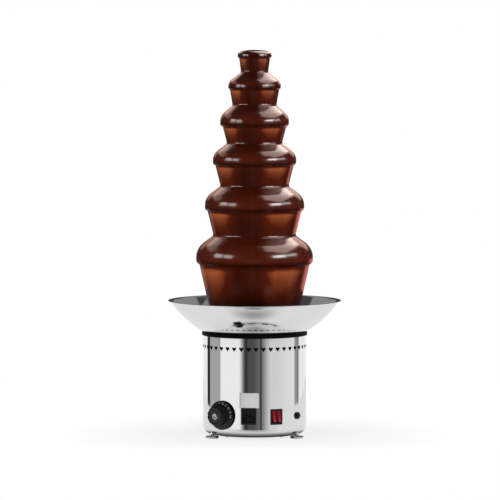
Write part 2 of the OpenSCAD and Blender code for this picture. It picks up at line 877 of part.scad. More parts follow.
module tower_tube() {
    color("gainsboro") difference() {
        union() {
            translate([0, 0, tower_z]) cylinder(r = tube_r, h = tube_top - tower_z);
            translate([0, 0, tower_z]) cylinder(d = tower_flange_d, h = tower_flange_t);
        }
        translate([0, 0, tower_z - eps]) cylinder(r = tube_bore_r, h = tube_top - tower_z + 2 * eps);
        for (k = [0 : port_count - 1])
            rotate([0, 0, 360 * k / port_count])
                translate([0, -port_w / 2, tower_z + tower_flange_t]) cube([tube_d, port_w, port_h]);
    }
}

// Crown cup: a sleeve on the tube with a seat on its end and a flared rim
crown_sleeve_r = sleeve_r + 1.8;
crown_seat_z = tube_top + seat_gap;
crown_rim_z = crown_z - 1.5;
crown_flare_t = 1.2;
crown_seat_t = 1.2;
flare_foot = [crown_sleeve_r, tube_top + 1];

module crown_cup() {
    color("gainsboro") rotate_extrude() polygon([
        [sleeve_r, tube_top - sleeve_h], [crown_sleeve_r, tube_top - sleeve_h], flare_foot,
        [crown_rim_r, crown_rim_z], [crown_rim_r - crown_flare_t, crown_rim_z],
        flare_foot + [-crown_flare_t, crown_seat_t], [tube_bore_r, crown_seat_z + crown_seat_t],
        [tube_bore_r, crown_seat_z], [sleeve_r, crown_seat_z]
    ]);
}

// Chocolate

// Drip edge below a dome or the crown, and the top of its curtain
function drip_line(r, z, lip, fall) = arc([r - lip, z - fall], lip, 0, -lip_turn, 6);
function curtain_top(r, z, lip, fall) =
    [r - lip + lip * cos(lip_turn), z - fall - lip * sin(lip_turn)];

// Where a line that falls from p and leans in meets the flank of dome i
function landing(p, lean, i) =
    let (
        s = tan(tier_fall[i]),
        q = flank_start(i, 0),
        z = (q[1] + film_gap + (q[0] - p[0] + p[1] * tan(lean)) * s) / (1 + tan(lean) * s)
    )
    [p[0] - (p[1] - z) * tan(lean), z];

// The same for the last curtain, which falls into the pool
function pool_landing(p, lean) =
    let (z = pool_z + film_gap) [p[0] - (p[1] - z) * tan(lean), z];

function curtain_end(p, lean, i) =
    i < len(tier_r) ? landing(p, lean, i) : pool_landing(p, lean);

module chocolate_tier(i) {
    top = curtain_top(tier_r[i], tier_z[i], lip_r[i], lip_fall[i]);
    inner_top = top - [curtain_t, 0];
    skin = film_t - film_gap;
    start = tube_r + film_gap;
    hollow = tier_r[i] - film_t - dome_t - film_gap;
    under = dome_foot(i) - film_gap;
    color("saddlebrown") rotate_extrude() polygon(concat(
        dome_line(i, 0, start),
        drip_line(tier_r[i], tier_z[i], lip_r[i], lip_fall[i]),
        [curtain_end(top, curtain_lean[i], i + 1), curtain_end(inner_top, curtain_lean[i], i + 1)],
        [inner_top, [hollow, under], [tier_r[i] - skin, under]],
        flip(dome_line(i, skin, start))
    ));
}

module chocolate_crown() {
    edge = [crown_r - crown_edge, crown_z];
    brow = 15;
    top = curtain_top(crown_r, crown_z, crown_lip_r, crown_lip_fall);
    inner_top = top - [curtain_t, 0];
    shoulder = edge + crown_edge * [sin(brow), cos(brow)];
    rim_in = crown_rim_r - crown_flare_t - film_gap;
    color("saddlebrown") rotate_extrude() polygon(concat(
        [for (k = [0:4]) [shoulder[0] * k / 5, shoulder[1] + crown_rise * (1 - k * k / 25)]],
        arc(edge, crown_edge, 90 - brow, 0, 7),
        drip_line(crown_r, crown_z, crown_lip_r, crown_lip_fall),
        [curtain_end(top, crown_lean, 0), curtain_end(inner_top, crown_lean, 0), inner_top],
        [[crown_rim_r + film_gap, crown_rim_z - 1], [crown_rim_r + film_gap, crown_rim_z + film_gap]],
        [[rim_in, crown_rim_z + film_gap]],
        [flare_foot + [-crown_flare_t - film_gap, crown_seat_t + film_gap]],
        [[0, flare_foot[1] + crown_seat_t + film_gap]]
    ));
}

module chocolate_pool() {
    wall_r = bowl_wall_r - bowl_t - film_gap;
    floor_z = tower_z + film_gap;
    hole_r = tower_flange_d / 2 + film_gap;
    color("saddlebrown") rotate_extrude() polygon(concat(
        [[hole_r, pool_z], [hole_r, floor_z]],
        arc(bowl_centre, wall_r, bowl_angle(wall_r, floor_z), bowl_angle(wall_r, pool_z), 8)
    ));
}

// Controls

// The thermostat's sensing bulb lies under the bowl; its stem rises from the thermostat
thermostat_front = -behind_can(thermostat_size[0]);
thermostat_mid = thermostat_front - thermostat_size[2] / 2;
bulb_az = knob_az + 2.5;
bulb_stem = spot(bulb_az, bowl_stud_r - 3);
bulb_r = 2.8;
bulb_l = 22;
heater_feed_az = knob_az + 14;
heater_feed = spot(heater_feed_az, heater_d / 2 - wire_hole_d);

module thermostat_body() {
    color("dimgray") on_panel(knob_az) difference() {
        union() {
            block(thermostat_size, thermostat_front - thermostat_size[2]);
            translate([0, 0, thermostat_front - eps])
                cylinder(r = neck_r, h = neck_reach - thermostat_front + eps);
        }
        translate([0, 0, thermostat_front - spindle_sink])
            cylinder(r = spindle_r + run_gap, h = knob_reach);
    }
}

// The bulb on its stem, larger all round by grow
module bulb(grow) {
    stem_r = 1 + grow;
    foot_z = panel_z + thermostat_size[1] / 2;
    bulb_z = bowl_z - bulb_r - seat_gap;
    translate([bulb_stem[0], bulb_stem[1], foot_z]) cylinder(r = stem_r, h = bulb_z - foot_z);
    translate([bulb_stem[0], bulb_stem[1], bulb_z]) rotate([0, 90, bulb_az])
        cylinder(r = bulb_r + grow, h = bulb_l + 2 * grow, center = true);
}

module thermostat_bulb() {
    color("peru") bulb(0);
}

module thermostat_spindle() {
    color("silver") on_panel(knob_az) translate([0, 0, thermostat_front - spindle_sink + run_gap])
        cylinder(r = spindle_r, h = knob_reach - spindle_cover - thermostat_front + spindle_sink);
}

module thermostat_knob() {
    skirt_r = knob_d / 2;
    grip_r = grip_d / 2;
    skirt_top = knob_back + knob_skirt_t;
    flute_r = 3.2;
    nut_room = [thermostat_nut_w / 2 + 2.5, neck_reach - knob_back + 0.8];
    color([0.05, 0.05, 0.05]) on_panel(knob_az) difference() {
        rotate_extrude() polygon([
            [0, knob_back], [skirt_r - 1, knob_back], [skirt_r, knob_back + 1],
            [skirt_r, skirt_top - 1.2], [skirt_r - 0.8, skirt_top - 0.4], [grip_r + 1, skirt_top + 0.6],
            [grip_r, skirt_top + 1.6], [grip_r - 1.2, knob_reach - 1.6], [grip_r - 2.8, knob_reach],
            [0, knob_reach]
        ]);
        for (k = [0 : flute_count - 1])
            rotate([0, 0, 360 * k / flute_count]) translate([grip_r + 1.6, 0, skirt_top + 1.4])
                cylinder(r = flute_r, h = knob_reach);
        translate([0, 0, knob_back - eps])
            cylinder(r = spindle_r + run_gap, h = knob_reach - spindle_cover - knob_back + 2 * eps);
        translate([0, 0, knob_back - eps]) cylinder(r = nut_room[0], h = nut_room[1] + eps);
        translate([0, 0, knob_reach - knob_cap_t])
            cylinder(d = knob_cap_d + 2 * run_gap, h = knob_cap_t + eps);
    }
}

module knob_cap() {
    dome = 0.7;
    color("silver") on_panel(knob_az) rotate_extrude() polygon([
        [0, knob_reach - knob_cap_t], [knob_cap_d / 2, knob_reach - knob_cap_t],
        [knob_cap_d / 2, knob_reach], [knob_cap_d / 3, knob_reach + 0.7 * dome], [0, knob_reach + dome]
    ]);
}

module panel_nuts() {
    color("black") {
        on_panel(knob_az) difference() {
            hexagon(thermostat_nut_w, panel_nut_h);
            translate([0, 0, -eps]) cylinder(r = neck_r + run_gap, h = panel_nut_h + 2 * eps);
        }
        on_panel(reset_az, reset_z) difference() {
            hexagon(reset_nut_w, panel_nut_h);
            translate([0, 0, -eps]) cylinder(r = breaker_neck_r + run_gap, h = panel_nut_h + 2 * eps);
        }
    }
}

// Outline of the socket: a rectangle with its two upper corners cut off
function socket_outline() =
    let (w = socket_size[0] / 2, h = socket_size[1] / 2, b = socket_bevel)
    [[-w, -h], [w, -h], [w, h - b], [w - b, h], [-w + b, h], [-w, h - b]];

module inlet_body() {
    socket_floor = bezel_t - socket_depth;
    color([0.06, 0.06, 0.06]) on_panel(inlet_az) difference() {
        union() {
            block([inlet_w, inlet_h, bezel_t], 0);
            block(inlet_tub, -inlet_tub[2]);
        }
        translate([0, socket_y, socket_floor])
            linear_extrude(height = socket_depth + eps) polygon(socket_outline());
        translate([0, drawer_y, 0])
            block([drawer_size[0] + 2 * seat_gap, drawer_size[1] + 2 * seat_gap, 2 * drawer_depth],
                -drawer_depth - 2 * seat_gap);
        for (p = blade_at) translate([p[0], p[1], 0])
            block([blade_size[0] + 2 * run_gap, blade_size[1] + 2 * run_gap, inlet_tub[2]],
                -inlet_tub[2] - eps);
    }
}

module inlet_pins() {
    tail = inlet_tub[2] + blade_tail;
    tip = bezel_t - socket_depth + blade_l;
    color("silver") on_panel(inlet_az)
        for (p = blade_at) translate([p[0], p[1], 0])
            block([blade_size[0], blade_size[1], tail + tip], -tail);
}

module fuse_drawer() {
    proud = 0.8;
    notch = [8, 2.4, 1.2];
    color([0.08, 0.08, 0.08]) on_panel(inlet_az) translate([0, drawer_y, 0]) difference() {
        block([drawer_size[0], drawer_size[1], drawer_depth + bezel_t + proud], -drawer_depth);
        translate([0, -drawer_size[1] / 2 + notch[1] / 2, 0]) block(notch, bezel_t + proud - notch[2] / 2);
    }
}

module switch_body() {
    color([0.05, 0.05, 0.05]) on_panel(switch_az, switch_z) difference() {
        union() {
            block([switch_w, switch_h, bezel_t], 0);
            block(switch_tub, -switch_tub[2]);
        }
        for (side = [-1, 1]) translate([side * rocker_x, 0, 0])
            block([window_size[0], window_size[1], window_depth + bezel_t + eps], -window_depth);
        translate([0, 0, pivot_z]) rotate([0, 90, 0])
            cylinder(r = pivot_r + run_gap, h = 2 * (rocker_x + run_gap) + pivot_l, center = true);
    }
}

// A rocker stands with its upper end pressed in; its face is a shallow V
module rocker(side) {
    reach = rocker_l / 2;
    crest = 5.6;
    valley = 4;
    keel = 5;
    color("red") on_panel(switch_az, switch_z) translate([side * rocker_x, 0, pivot_z])
        rotate([-rocker_swing / 2, 0, 0]) {
            rotate([90, 0, 90]) linear_extrude(height = rocker_w, center = true) polygon([
                [-reach, crest], [-reach, 0.6], [-keel, -keel], [keel, -keel],
                [reach, 0.6], [reach, crest], [0, valley]
            ]);
            rotate([0, 90, 0]) cylinder(r = pivot_r, h = pivot_l, center = true);
        }
}

module breaker_body() {
    front = -behind_can(breaker_size[0]);
    color([0.1, 0.1, 0.1]) on_panel(reset_az, reset_z) difference() {
        union() {
            block(breaker_size, front - breaker_size[2]);
            translate([0, 0, front - eps])
                cylinder(r = breaker_neck_r, h = breaker_neck_reach - front + eps);
        }
        translate([0, 0, -reset_depth]) cylinder(d = reset_d + 2 * seat_gap, h = reset_depth + 10);
    }
}

module reset_button() {
    back = reset_depth - reset_travel - seat_gap;
    color([0.25, 0.25, 0.25]) on_panel(reset_az, reset_z) translate([0, 0, -back])
        rotate_extrude() polygon([
            [0, 0], [reset_d / 2, 0], [reset_d / 2, back + reset_reach - 0.8],
            [reset_d / 2 - 0.8, back + reset_reach], [0, back + reset_reach]
        ]);
}

// Wiring: each lead runs on a smooth curve between two terminals

lead_r = 1.3;
inlet_back = -inlet_tub[2] - blade_tail;
switch_back = -switch_tub[2];
breaker_back = -behind_can(breaker_size[0]) - breaker_size[2];
thermostat_back = thermostat_front - thermostat_size[2];

// Each lead leaves its terminals square to their faces: start, two points that draw the curve, end
LEADS = [
    [panel_point(inlet_az, [blade_at[1][0], blade_at[1][1], inlet_back]),
     panel_point(inlet_az, [blade_at[1][0], blade_at[1][1], inlet_back - 24]),
     panel_point(reset_az, [0, 9, breaker_back - 26], reset_z),
     panel_point(reset_az, [0, 9, breaker_back], reset_z)],
    [panel_point(reset_az, [0, -9, breaker_back], reset_z),
     panel_point(reset_az, [0, -9, breaker_back - 18], reset_z),
     panel_point(switch_az, [6, -9, switch_back - 18], switch_z),
     panel_point(switch_az, [6, -9, switch_back], switch_z)],
    [panel_point(switch_az, [-6, 9, switch_back], switch_z),
     panel_point(switch_az, [-6, 9, switch_back - 40], switch_z),
     [14, gear_cd - 14, motor_z - 40],
     [14, gear_cd - 14, motor_z]],
    [panel_point(inlet_az, [blade_at[0][0], blade_at[0][1], inlet_back]),
     panel_point(inlet_az, [blade_at[0][0], blade_at[0][1], inlet_back - 40]),
     [-14, gear_cd - 14, motor_z - 40],
     [-14, gear_cd - 14, motor_z]],
    [panel_point(knob_az, [4, -10, thermostat_back]),
     panel_point(knob_az, [4, -10, thermostat_back - 60]),
     panel_point(switch_az, [-6, -9, switch_back - 60], switch_z),
     panel_point(switch_az, [-6, -9, switch_back], switch_z)],
    [panel_point(knob_az, [11, thermostat_size[1] / 2, thermostat_mid]),
     panel_point(knob_az, [11, thermostat_size[1] / 2 + 40, thermostat_mid]),
     [heater_feed[0], heater_feed[1], bowl_z - 60],
     [heater_feed[0], heater_feed[1], heater_z]]
];

function on_curve(c, t) =
    c[0] * pow(1 - t, 3) + 3 * c[1] * t * pow(1 - t, 2) + 3 * c[2] * t * t * (1 - t) + c[3] * pow(t, 3);
function along_curve(c, t) =
    unit((c[1] - c[0]) * pow(1 - t, 2) + 2 * (c[2] - c[1]) * t * (1 - t) + (c[3] - c[2]) * t * t);

// A tube of even thickness swept along a curve, with flat ends
module lead(c) {
    rings = 16;
    sides = 6;
    aside = unit(cross(c[3] - c[0], c[1] - c[0]));
    points = [
        for (k = [0:rings])
            let (d = along_curve(c, k / rings), u = unit(cross(d, aside)), v = cross(d, u))
            for (s = [0 : sides - 1])
                on_curve(c, k / rings) + lead_r * (u * cos(360 * s / sides) + v * sin(360 * s / sides))
    ];
    last = rings * sides;
    faces = concat(
        [for (k = [0 : rings - 1], s = [0 : sides - 1])
            let (n = (s + 1) % sides, a = k * sides) [a + s, a + n, a + sides + s]],
        [for (k = [0 : rings - 1], s = [0 : sides - 1])
            let (n = (s + 1) % sides, a = k * sides) [a + n, a + sides + n, a + sides + s]],
        [for (s = [1 : sides - 2]) [0, s + 1, s]],
        [for (s = [1 : sides - 2]) [last, last + s, last + s + 1]]
    );
    polyhedron(points, faces);
}

module wiring_leads() {
    color("firebrick") for (c = LEADS) lead(c);
}

housing_can();
bottom_cover();
cover_screws();
foot_sockets();
foot(foot_az[0]);  // foot_left
foot(foot_az[1]);  // foot_right
foot(foot_az[2]);  // foot_rear
top_plate();
gasket_ring();
bowl();
bowl_studs();
bowl_collar();
shaft_seal();
heater_ring();
insulation_pad();
gear_case();
gear_case_lid();
drive_bolts();
motor_can();
motor_endcap();
stator_core();
stator_windings();
bearings();
rotor();
drive_shaft();
drive_gear();
drive_pin();
auger_shaft();
auger_flight();
tower_tube();
dome(0);  // dome_1
dome(1);  // dome_2
dome(2);  // dome_3
dome(3);  // dome_4
dome(4);  // dome_5
dome_stops();
crown_cup();
chocolate_crown();
chocolate_tier(0);  // chocolate_tier_1
chocolate_tier(1);  // chocolate_tier_2
chocolate_tier(2);  // chocolate_tier_3
chocolate_tier(3);  // chocolate_tier_4
chocolate_tier(4);  // chocolate_tier_5
chocolate_pool();
thermostat_body();
thermostat_bulb();
thermostat_spindle();
thermostat_knob();
knob_cap();
panel_nuts();
inlet_body();
inlet_pins();
fuse_drawer();
switch_body();
rocker(-1);  // motor_rocker
rocker(1);  // heater_rocker
breaker_body();
reset_button();
wiring_leads();
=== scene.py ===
"""A chocolate fountain as it runs: polished base and bowl, with chocolate over a crown and five domes."""

import json

import bmesh
import bpy
import numpy as np
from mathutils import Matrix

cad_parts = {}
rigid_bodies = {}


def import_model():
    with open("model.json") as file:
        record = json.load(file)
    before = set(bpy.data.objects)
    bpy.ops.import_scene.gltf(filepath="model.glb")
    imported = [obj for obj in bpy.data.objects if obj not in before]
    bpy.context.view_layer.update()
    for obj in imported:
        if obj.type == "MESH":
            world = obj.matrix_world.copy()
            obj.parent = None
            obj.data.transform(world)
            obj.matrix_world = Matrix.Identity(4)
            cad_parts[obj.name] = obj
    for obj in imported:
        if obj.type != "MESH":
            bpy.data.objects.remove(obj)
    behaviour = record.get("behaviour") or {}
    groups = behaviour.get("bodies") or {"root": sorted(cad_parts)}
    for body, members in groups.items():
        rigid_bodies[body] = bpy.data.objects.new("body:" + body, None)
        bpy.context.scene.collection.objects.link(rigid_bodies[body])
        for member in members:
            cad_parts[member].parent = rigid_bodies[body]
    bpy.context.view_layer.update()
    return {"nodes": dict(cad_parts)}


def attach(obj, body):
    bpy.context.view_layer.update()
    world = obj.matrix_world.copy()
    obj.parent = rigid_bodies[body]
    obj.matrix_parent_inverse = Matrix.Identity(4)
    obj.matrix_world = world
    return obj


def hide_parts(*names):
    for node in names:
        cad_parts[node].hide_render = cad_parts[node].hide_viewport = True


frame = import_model()
nodes = frame["nodes"]


# Housing can: drawn stainless sheet with a rounded bottom edge, polished to a mirror. A row of hearts
# is punched through it near the top, and the controls sit in cut-outs low on its front.

MM = 0.001
CAN_RADIUS = 107.5 * MM
CAN_BOTTOM = 5.5 * MM
CAN_CORNER = 17.5 * MM


class Wire:
    """An output socket of a node tree. Arithmetic on it adds Math nodes to the same tree."""

    def __init__(self, tree, socket):
        self.tree = tree
        self.socket = socket

    def node(self, kind, inputs, settings=(), out=0):
        """Adds a node of any kind: its settings first, then the values or wires of its sockets."""
        made = self.tree.nodes.new(kind)
        for name, value in dict(settings).items():
            setattr(made, name, value)
        for name, value in inputs.items():
            if isinstance(value, Wire):
                self.tree.links.new(made.inputs[name], value.socket)
            else:
                made.inputs[name].default_value = value
        return Wire(self.tree, made.outputs[out])

    def math(self, operation, *values):
        """A Math node on the given values, in their order."""
        return self.node("ShaderNodeMath", dict(enumerate(values)), {"operation": operation})

    def __add__(self, other):
        return self.math("ADD", self, other)

    __radd__ = __add__

    def __sub__(self, other):
        return self.math("SUBTRACT", self, other)

    def __rsub__(self, other):
        return self.math("SUBTRACT", other, self)

    def __mul__(self, other):
        return self.math("MULTIPLY", self, other)

    __rmul__ = __mul__

    def __truediv__(self, other):
        return self.math("DIVIDE", self, other)

    def noise(self, scale, stretch=(1, 1, 1), detail=3):
        """Noise on this vector, from 0 to 1, with the vector stretched first."""
        place = self.node("ShaderNodeMapping", {"Vector": self, "Scale": stretch})
        return self.node("ShaderNodeTexNoise", {"Vector": place, "Scale": scale, "Detail": detail})

    def ease(self, low, high):
        """0 below low, 1 above high, with a smooth step between."""
        sockets = {"Value": self, "From Min": low, "From Max": high}
        return self.node("ShaderNodeMapRange", sockets, {"interpolation_type": "SMOOTHSTEP"})

    def mix(self, first, second):
        """A colour that goes from first to second as this goes from 0 to 1."""
        sockets = {0: self, 6: first, 7: second}
        return self.node("ShaderNodeMix", sockets, {"data_type": "RGBA"}, out=2)

    def bump(self, strength, distance):
        """A normal from this height."""
        return self.node("ShaderNodeBump", {"Height": self, "Strength": strength, "Distance": distance})


def grey(level, tint=(1, 1, 1)):
    """A colour of one level in all channels, times a tint."""
    return tuple(level * part for part in tint) + (1,)


def new_finish(name, **constants):
    """A material with its Principled shader, and a wire that carries Object coordinates.
    Constants are sockets of the shader, with _ for a space."""
    material = bpy.data.materials.new(name)
    material.use_nodes = True
    tree = material.node_tree
    shader = tree.nodes["Principled BSDF"]
    for socket, value in constants.items():
        shader.inputs[socket.replace("_", " ")].default_value = value
    place = Wire(tree, tree.nodes.new("ShaderNodeTexCoord").outputs["Object"])
    return material, shader, place


def feed(shader, **wires):
    """Links wires to sockets of a shader, with _ for a space."""
    for socket, wire in wires.items():
        wire.tree.links.new(shader.inputs[socket.replace("_", " ")], wire.socket)


def steel_finish(name, level, rough, spread, scratch, tint=(1, 1, 1)):
    """Bare metal: level and tint of its colour, roughness with its spread, and depth of the polishing lines
    that run round the axis. Where the mesh has unpolished_and_shaded, it is rougher and painted nearly black
    as shade."""
    material, shader, place = new_finish(name, Metallic=1.0)
    cloud = place.noise(14)
    lines = place.noise(1, (12, 12, 2600), detail=2)
    # Painted shade: marked faces, the can's inside and cut edges, are painted nearly black; they are also
    # rougher.
    dull_and_shaded = place.node("ShaderNodeAttribute", {}, {"attribute_name": "unpolished_and_shaded"}, out="Fac")
    feed(
        shader,
        Base_Color=dull_and_shaded.mix(cloud.mix(grey(level * 0.95, tint), grey(level, tint)), grey(0.05)),
        Roughness=rough + spread * (0.6 * cloud + 0.4 * lines) + 0.6 * dull_and_shaded,
        Normal=lines.bump(scratch, 0.02 * MM),
    )
    return material


def joined(node):
    """A node's loose triangles with equal corners merged: the points, and the triangles' point numbers."""
    mesh = nodes[node].data
    points = np.empty(3 * len(mesh.vertices))
    mesh.vertices.foreach_get("co", points)
    corners = np.empty(len(mesh.loops), int)
    mesh.loops.foreach_get("vertex_index", corners)
    merged, number = np.unique(points.reshape(-1, 3).round(7), axis=0, return_inverse=True)
    triangles = number.ravel()[corners].reshape(-1, 3)
    kept = (triangles != np.roll(triangles, 1, axis=1)).all(axis=1)
    return merged, triangles[kept]


def piece(name, mesh, material, body, *replaced, slot=None):
    """An object for a finished mesh: it rides on a body, stands for CAD nodes and takes a material. Its slot
    is not used.
    """
    mesh.polygons.foreach_set("use_smooth", np.ones(len(mesh.polygons), bool))
    mesh.materials.clear()
    mesh.materials.append(material)
    made = bpy.data.objects.new(name, mesh)
    bpy.context.scene.collection.objects.link(made)
    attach(made, body)
    if replaced:
        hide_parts(*replaced)
    return made


def unit(vectors):
    """Vectors of length one along the last axis."""
    return vectors / np.maximum(np.linalg.norm(vectors, axis=-1, keepdims=True), 1e-12)


def can_shell():
    """The can's own skin with the normals of true drawn sheet: outwards from the corner's centre circle,
    which is straight out on the wall and straight down underneath. Cut edges keep their own normals, and
    they and the inside are marked rougher and painted nearly black as shade, so the hearts look dark."""
    points, triangles = joined("housing_can")
    mesh = bpy.data.meshes.new("can_shell")
    mesh.from_pydata(points.tolist(), [], triangles.tolist())
    mesh.polygons.foreach_set("use_smooth", np.ones(len(mesh.polygons), bool))
    at = points[triangles]
    flat = unit(np.cross(at[:, 1] - at[:, 0], at[:, 2] - at[:, 0]))[:, None].repeat(3, axis=1)
    reach = np.linalg.norm(at[..., :2], axis=-1)
    across = np.maximum(reach - (CAN_RADIUS - CAN_CORNER), 0)
    down = np.minimum(at[..., 2] - (CAN_BOTTOM + CAN_CORNER), 0)
    out = unit(np.concatenate([at[..., :2] * (across / reach)[..., None], down[..., None]], axis=-1))
    facing = (flat * out).sum(axis=-1, keepdims=True)
    normals = np.where(facing > 0.8, out, np.where(facing < -0.8, -out, flat))
    mesh.normals_split_custom_set(normals.reshape(-1, 3).tolist())
    # Painted shade: the inside and the cut edges are marked to be painted nearly black.
    dull_and_shaded = mesh.attributes.new("unpolished_and_shaded", "FLOAT", "FACE")
    dull_and_shaded.data.foreach_set("value", (facing.mean(axis=(1, 2)) < 0.5).astype(float))
    return mesh


polished = steel_finish("polished_steel", 0.80, 0.035, 0.05, 0.02)
piece("can_shell", can_shell(), polished, "base", "housing_can", slot="polished_steel")


# Underside and frame of the can: a plain cover with slots, held by screws, and a top plate inside.
# They are satin sheet steel; the threaded foot sockets are blackened.

plain = steel_finish("plain_steel", 0.60, 0.24, 0.12, 0.10)
dark_metal, dark_shader, dark_place = new_finish("dark_metal", Metallic=0.6)
dark_cloud = dark_place.noise(90)
feed(
    dark_shader,
    Base_Color=dark_cloud.mix(grey(0.030), grey(0.055)),
    Roughness=0.38 + 0.15 * dark_cloud,
    Normal=dark_place.noise(900).bump(0.12, 0.05 * MM),
)


def dress(material, *names):
    """Gives CAD nodes that keep their own shape a finish."""
    for name in names:
        nodes[name].data.materials.clear()
        nodes[name].data.materials.append(material)


dress(plain, "bottom_cover", "cover_screws", "top_plate")
dress(dark_metal, "foot_sockets")


# Levelling feet: turned and chromed pads with a domed top, each on a threaded stud that screws into
# its socket under the can.

FOOT_REACH = 101 * MM
FOOT_ANGLES = {"left": -60, "right": 60, "rear": 180}


def skin(name, points, closed_rows=False, closed_columns=True):
    """A mesh through a grid of points [row, column]: four-sided faces between neighbours, with rows and
    columns joined round where they close. Equal points, as at a pole, become one, and the faces point
    outwards, which the sign of the enclosed volume tells."""
    merged, number = np.unique(points.reshape(-1, 3).round(8), axis=0, return_inverse=True)
    number = number.reshape(points.shape[:2])
    if closed_rows:
        number = np.vstack([number, number[:1]])
    if closed_columns:
        number = np.hstack([number, number[:, :1]])
    faces = np.stack([number[:-1, :-1], number[:-1, 1:], number[1:, 1:], number[1:, :-1]], axis=-1)
    faces = faces.reshape(-1, 4)
    a, b, c, d = merged[faces].transpose(1, 0, 2)
    volume = (a * np.cross(b, c)).sum() + (a * np.cross(c, d)).sum()
    faces = faces if volume > 0 else faces[:, ::-1]
    first, last = faces[:, 0] == faces[:, 1], faces[:, 2] == faces[:, 3]
    left, right = faces[:, 1] == faces[:, 2], faces[:, 3] == faces[:, 0]
    pinched = first.astype(int) + last + left + right
    four = faces[pinched == 0]
    three = [faces[(pinched == 1) & gone][:, kept] for gone, kept in (
        (first, [0, 2, 3]), (last, [0, 1, 2]), (left, [0, 1, 3]), (right, [0, 1, 2]))]
    mesh = bpy.data.meshes.new(name)
    mesh.from_pydata(merged.tolist(), [], four.tolist() + np.vstack(three).tolist())
    return mesh


def turned(line, columns=192, ripple=0):
    """Points of a line of (radius, height) turned about the upright axis. ripple moves a point along the
    line's normal: it is an array [row, column] or 0."""
    angle = np.arange(columns) * 2 * np.pi / columns
    along = np.gradient(line, axis=0)
    normal = unit(np.column_stack([along[:, 1], -along[:, 0]]))
    radius = line[:, :1] + normal[:, :1] * ripple + 0 * angle
    height = line[:, 1:] + normal[:, 1:] * ripple + 0 * angle
    return np.stack([radius * np.sin(angle), -radius * np.cos(angle), height], axis=-1)


def rounded(corners, radii, steps=9):
    """A line through corners, each turned by a tangent arc of its own radius: the arc begins at the
    radius over the tangent of half the inside angle from the corner."""
    corners = np.asarray(corners, float)
    parts = [corners[:1]]
    for before, here, after, radius in zip(corners, corners[1:], corners[2:], radii):
        back, on = unit(before - here), unit(after - here)
        half = np.arccos(np.clip(back @ on, -1, 1)) / 2
        centre = here + unit(back + on) * radius / np.sin(half)
        reach = radius / np.tan(half)
        start, stop = here + back * reach - centre, here + on * reach - centre
        sweep = np.pi - 2 * half
        share = np.linspace(0, 1, steps)[:, None]
        arc = np.sin((1 - share) * sweep) * start + np.sin(share * sweep) * stop
        parts.append(centre + arc / np.sin(sweep))
    return np.vstack(parts + [corners[-1:]])


def foot_line():
    """Half the foot's outline: flat under, a low bell that draws in to the stud, then the stud."""
    return rounded([
        [0, 0], [13.6, 0], [13.6, 3.3], [11.4, 4.9], [5.0, 5.5], [3, 7], [3, 25.6], [0, 25.6],
    ], [1.2, 1.4, 1.5, 1.5, 1.5, 0.4], 7) * MM


chrome = steel_finish("chrome", 0.86, 0.03, 0.03, 0.01)
for side, degrees in FOOT_ANGLES.items():
    aim = np.radians(degrees)
    spot = np.array([FOOT_REACH * np.sin(aim), -FOOT_REACH * np.cos(aim), 0])
    pad = skin(f"foot_{side}_pad", turned(foot_line(), 96) + spot)
    piece(pad.name, pad, chrome, f"{side}_foot", f"foot_{side}", slot="chrome")


# Ring between can and bowl: black rubber with rounded edges, pressed flat between the two. The seal
# round the drive shaft is of the same rubber.

rubber, rubber_shader, rubber_place = new_finish("black_rubber", IOR=1.45, Specular_IOR_Level=0.12)
rubber_grain = rubber_place.noise(700)
feed(
    rubber_shader,
    Base_Color=rubber_place.noise(60).mix(grey(0.004), grey(0.009)),
    Roughness=0.42 + 0.2 * rubber_grain,
    Normal=rubber_grain.bump(0.25, 0.06 * MM),
)
gasket_line = rounded([
    [100.8, 214], [100.8, 210], [109.3, 210], [109.3, 218], [100.8, 218], [100.8, 214],
], [0.4, 1.8, 1.8, 0.4])
gasket = skin("gasket", turned(gasket_line[:-1] * MM), closed_rows=True)
piece("gasket", gasket, rubber, "base", "gasket_ring", slot="black_rubber")
dress(rubber, "shaft_seal")


# Bowl: spun from stainless sheet and polished, with a wall that bulges a little and a thin outward lip.
# Studs under its floor hold it on the top plate.

BOWL_SHEET = 1.2
BOWL_FLOOR = 218.0
BOWL_FOOT = np.array([108.0, BOWL_FLOOR])
BOWL_MOUTH = np.array([174.5, 278.5])
BOWL_BULGE = 4.8
BOWL_LIP = np.array([4.5, 2.5])


def bowl_arc(inset, low, high, count):
    """Points of the wall's arc between two heights, moved in by inset: the arc stands on the chord from
    the floor's edge to the mouth and bulges out from it."""
    chord = BOWL_MOUTH - BOWL_FOOT
    radius = (chord @ chord / 4 + BOWL_BULGE**2) / (2 * BOWL_BULGE)
    centre = (BOWL_MOUTH + BOWL_FOOT) / 2 + unit(np.array([-chord[1], chord[0]])) * (radius - BOWL_BULGE)
    height = np.linspace(low, high, count)
    return np.column_stack([centre[0] + np.sqrt((radius - inset) ** 2 - (height - centre[1]) ** 2), height])


def sheet_section(line, thickness):
    """Closed outline of a sheet that lies on the left of a line, with a round end at the line's far end."""
    along = unit(np.gradient(line, axis=0))
    side = np.column_stack([-along[:, 1], along[:, 0]])
    turn = np.radians(np.linspace(-90, 90, 9))[1:-1, None]
    tip = line[-1] + thickness / 2 * (side[-1] * (1 + np.sin(turn)) + along[-1] * np.cos(turn))
    return np.vstack([line, tip, (line + side * thickness)[::-1]])


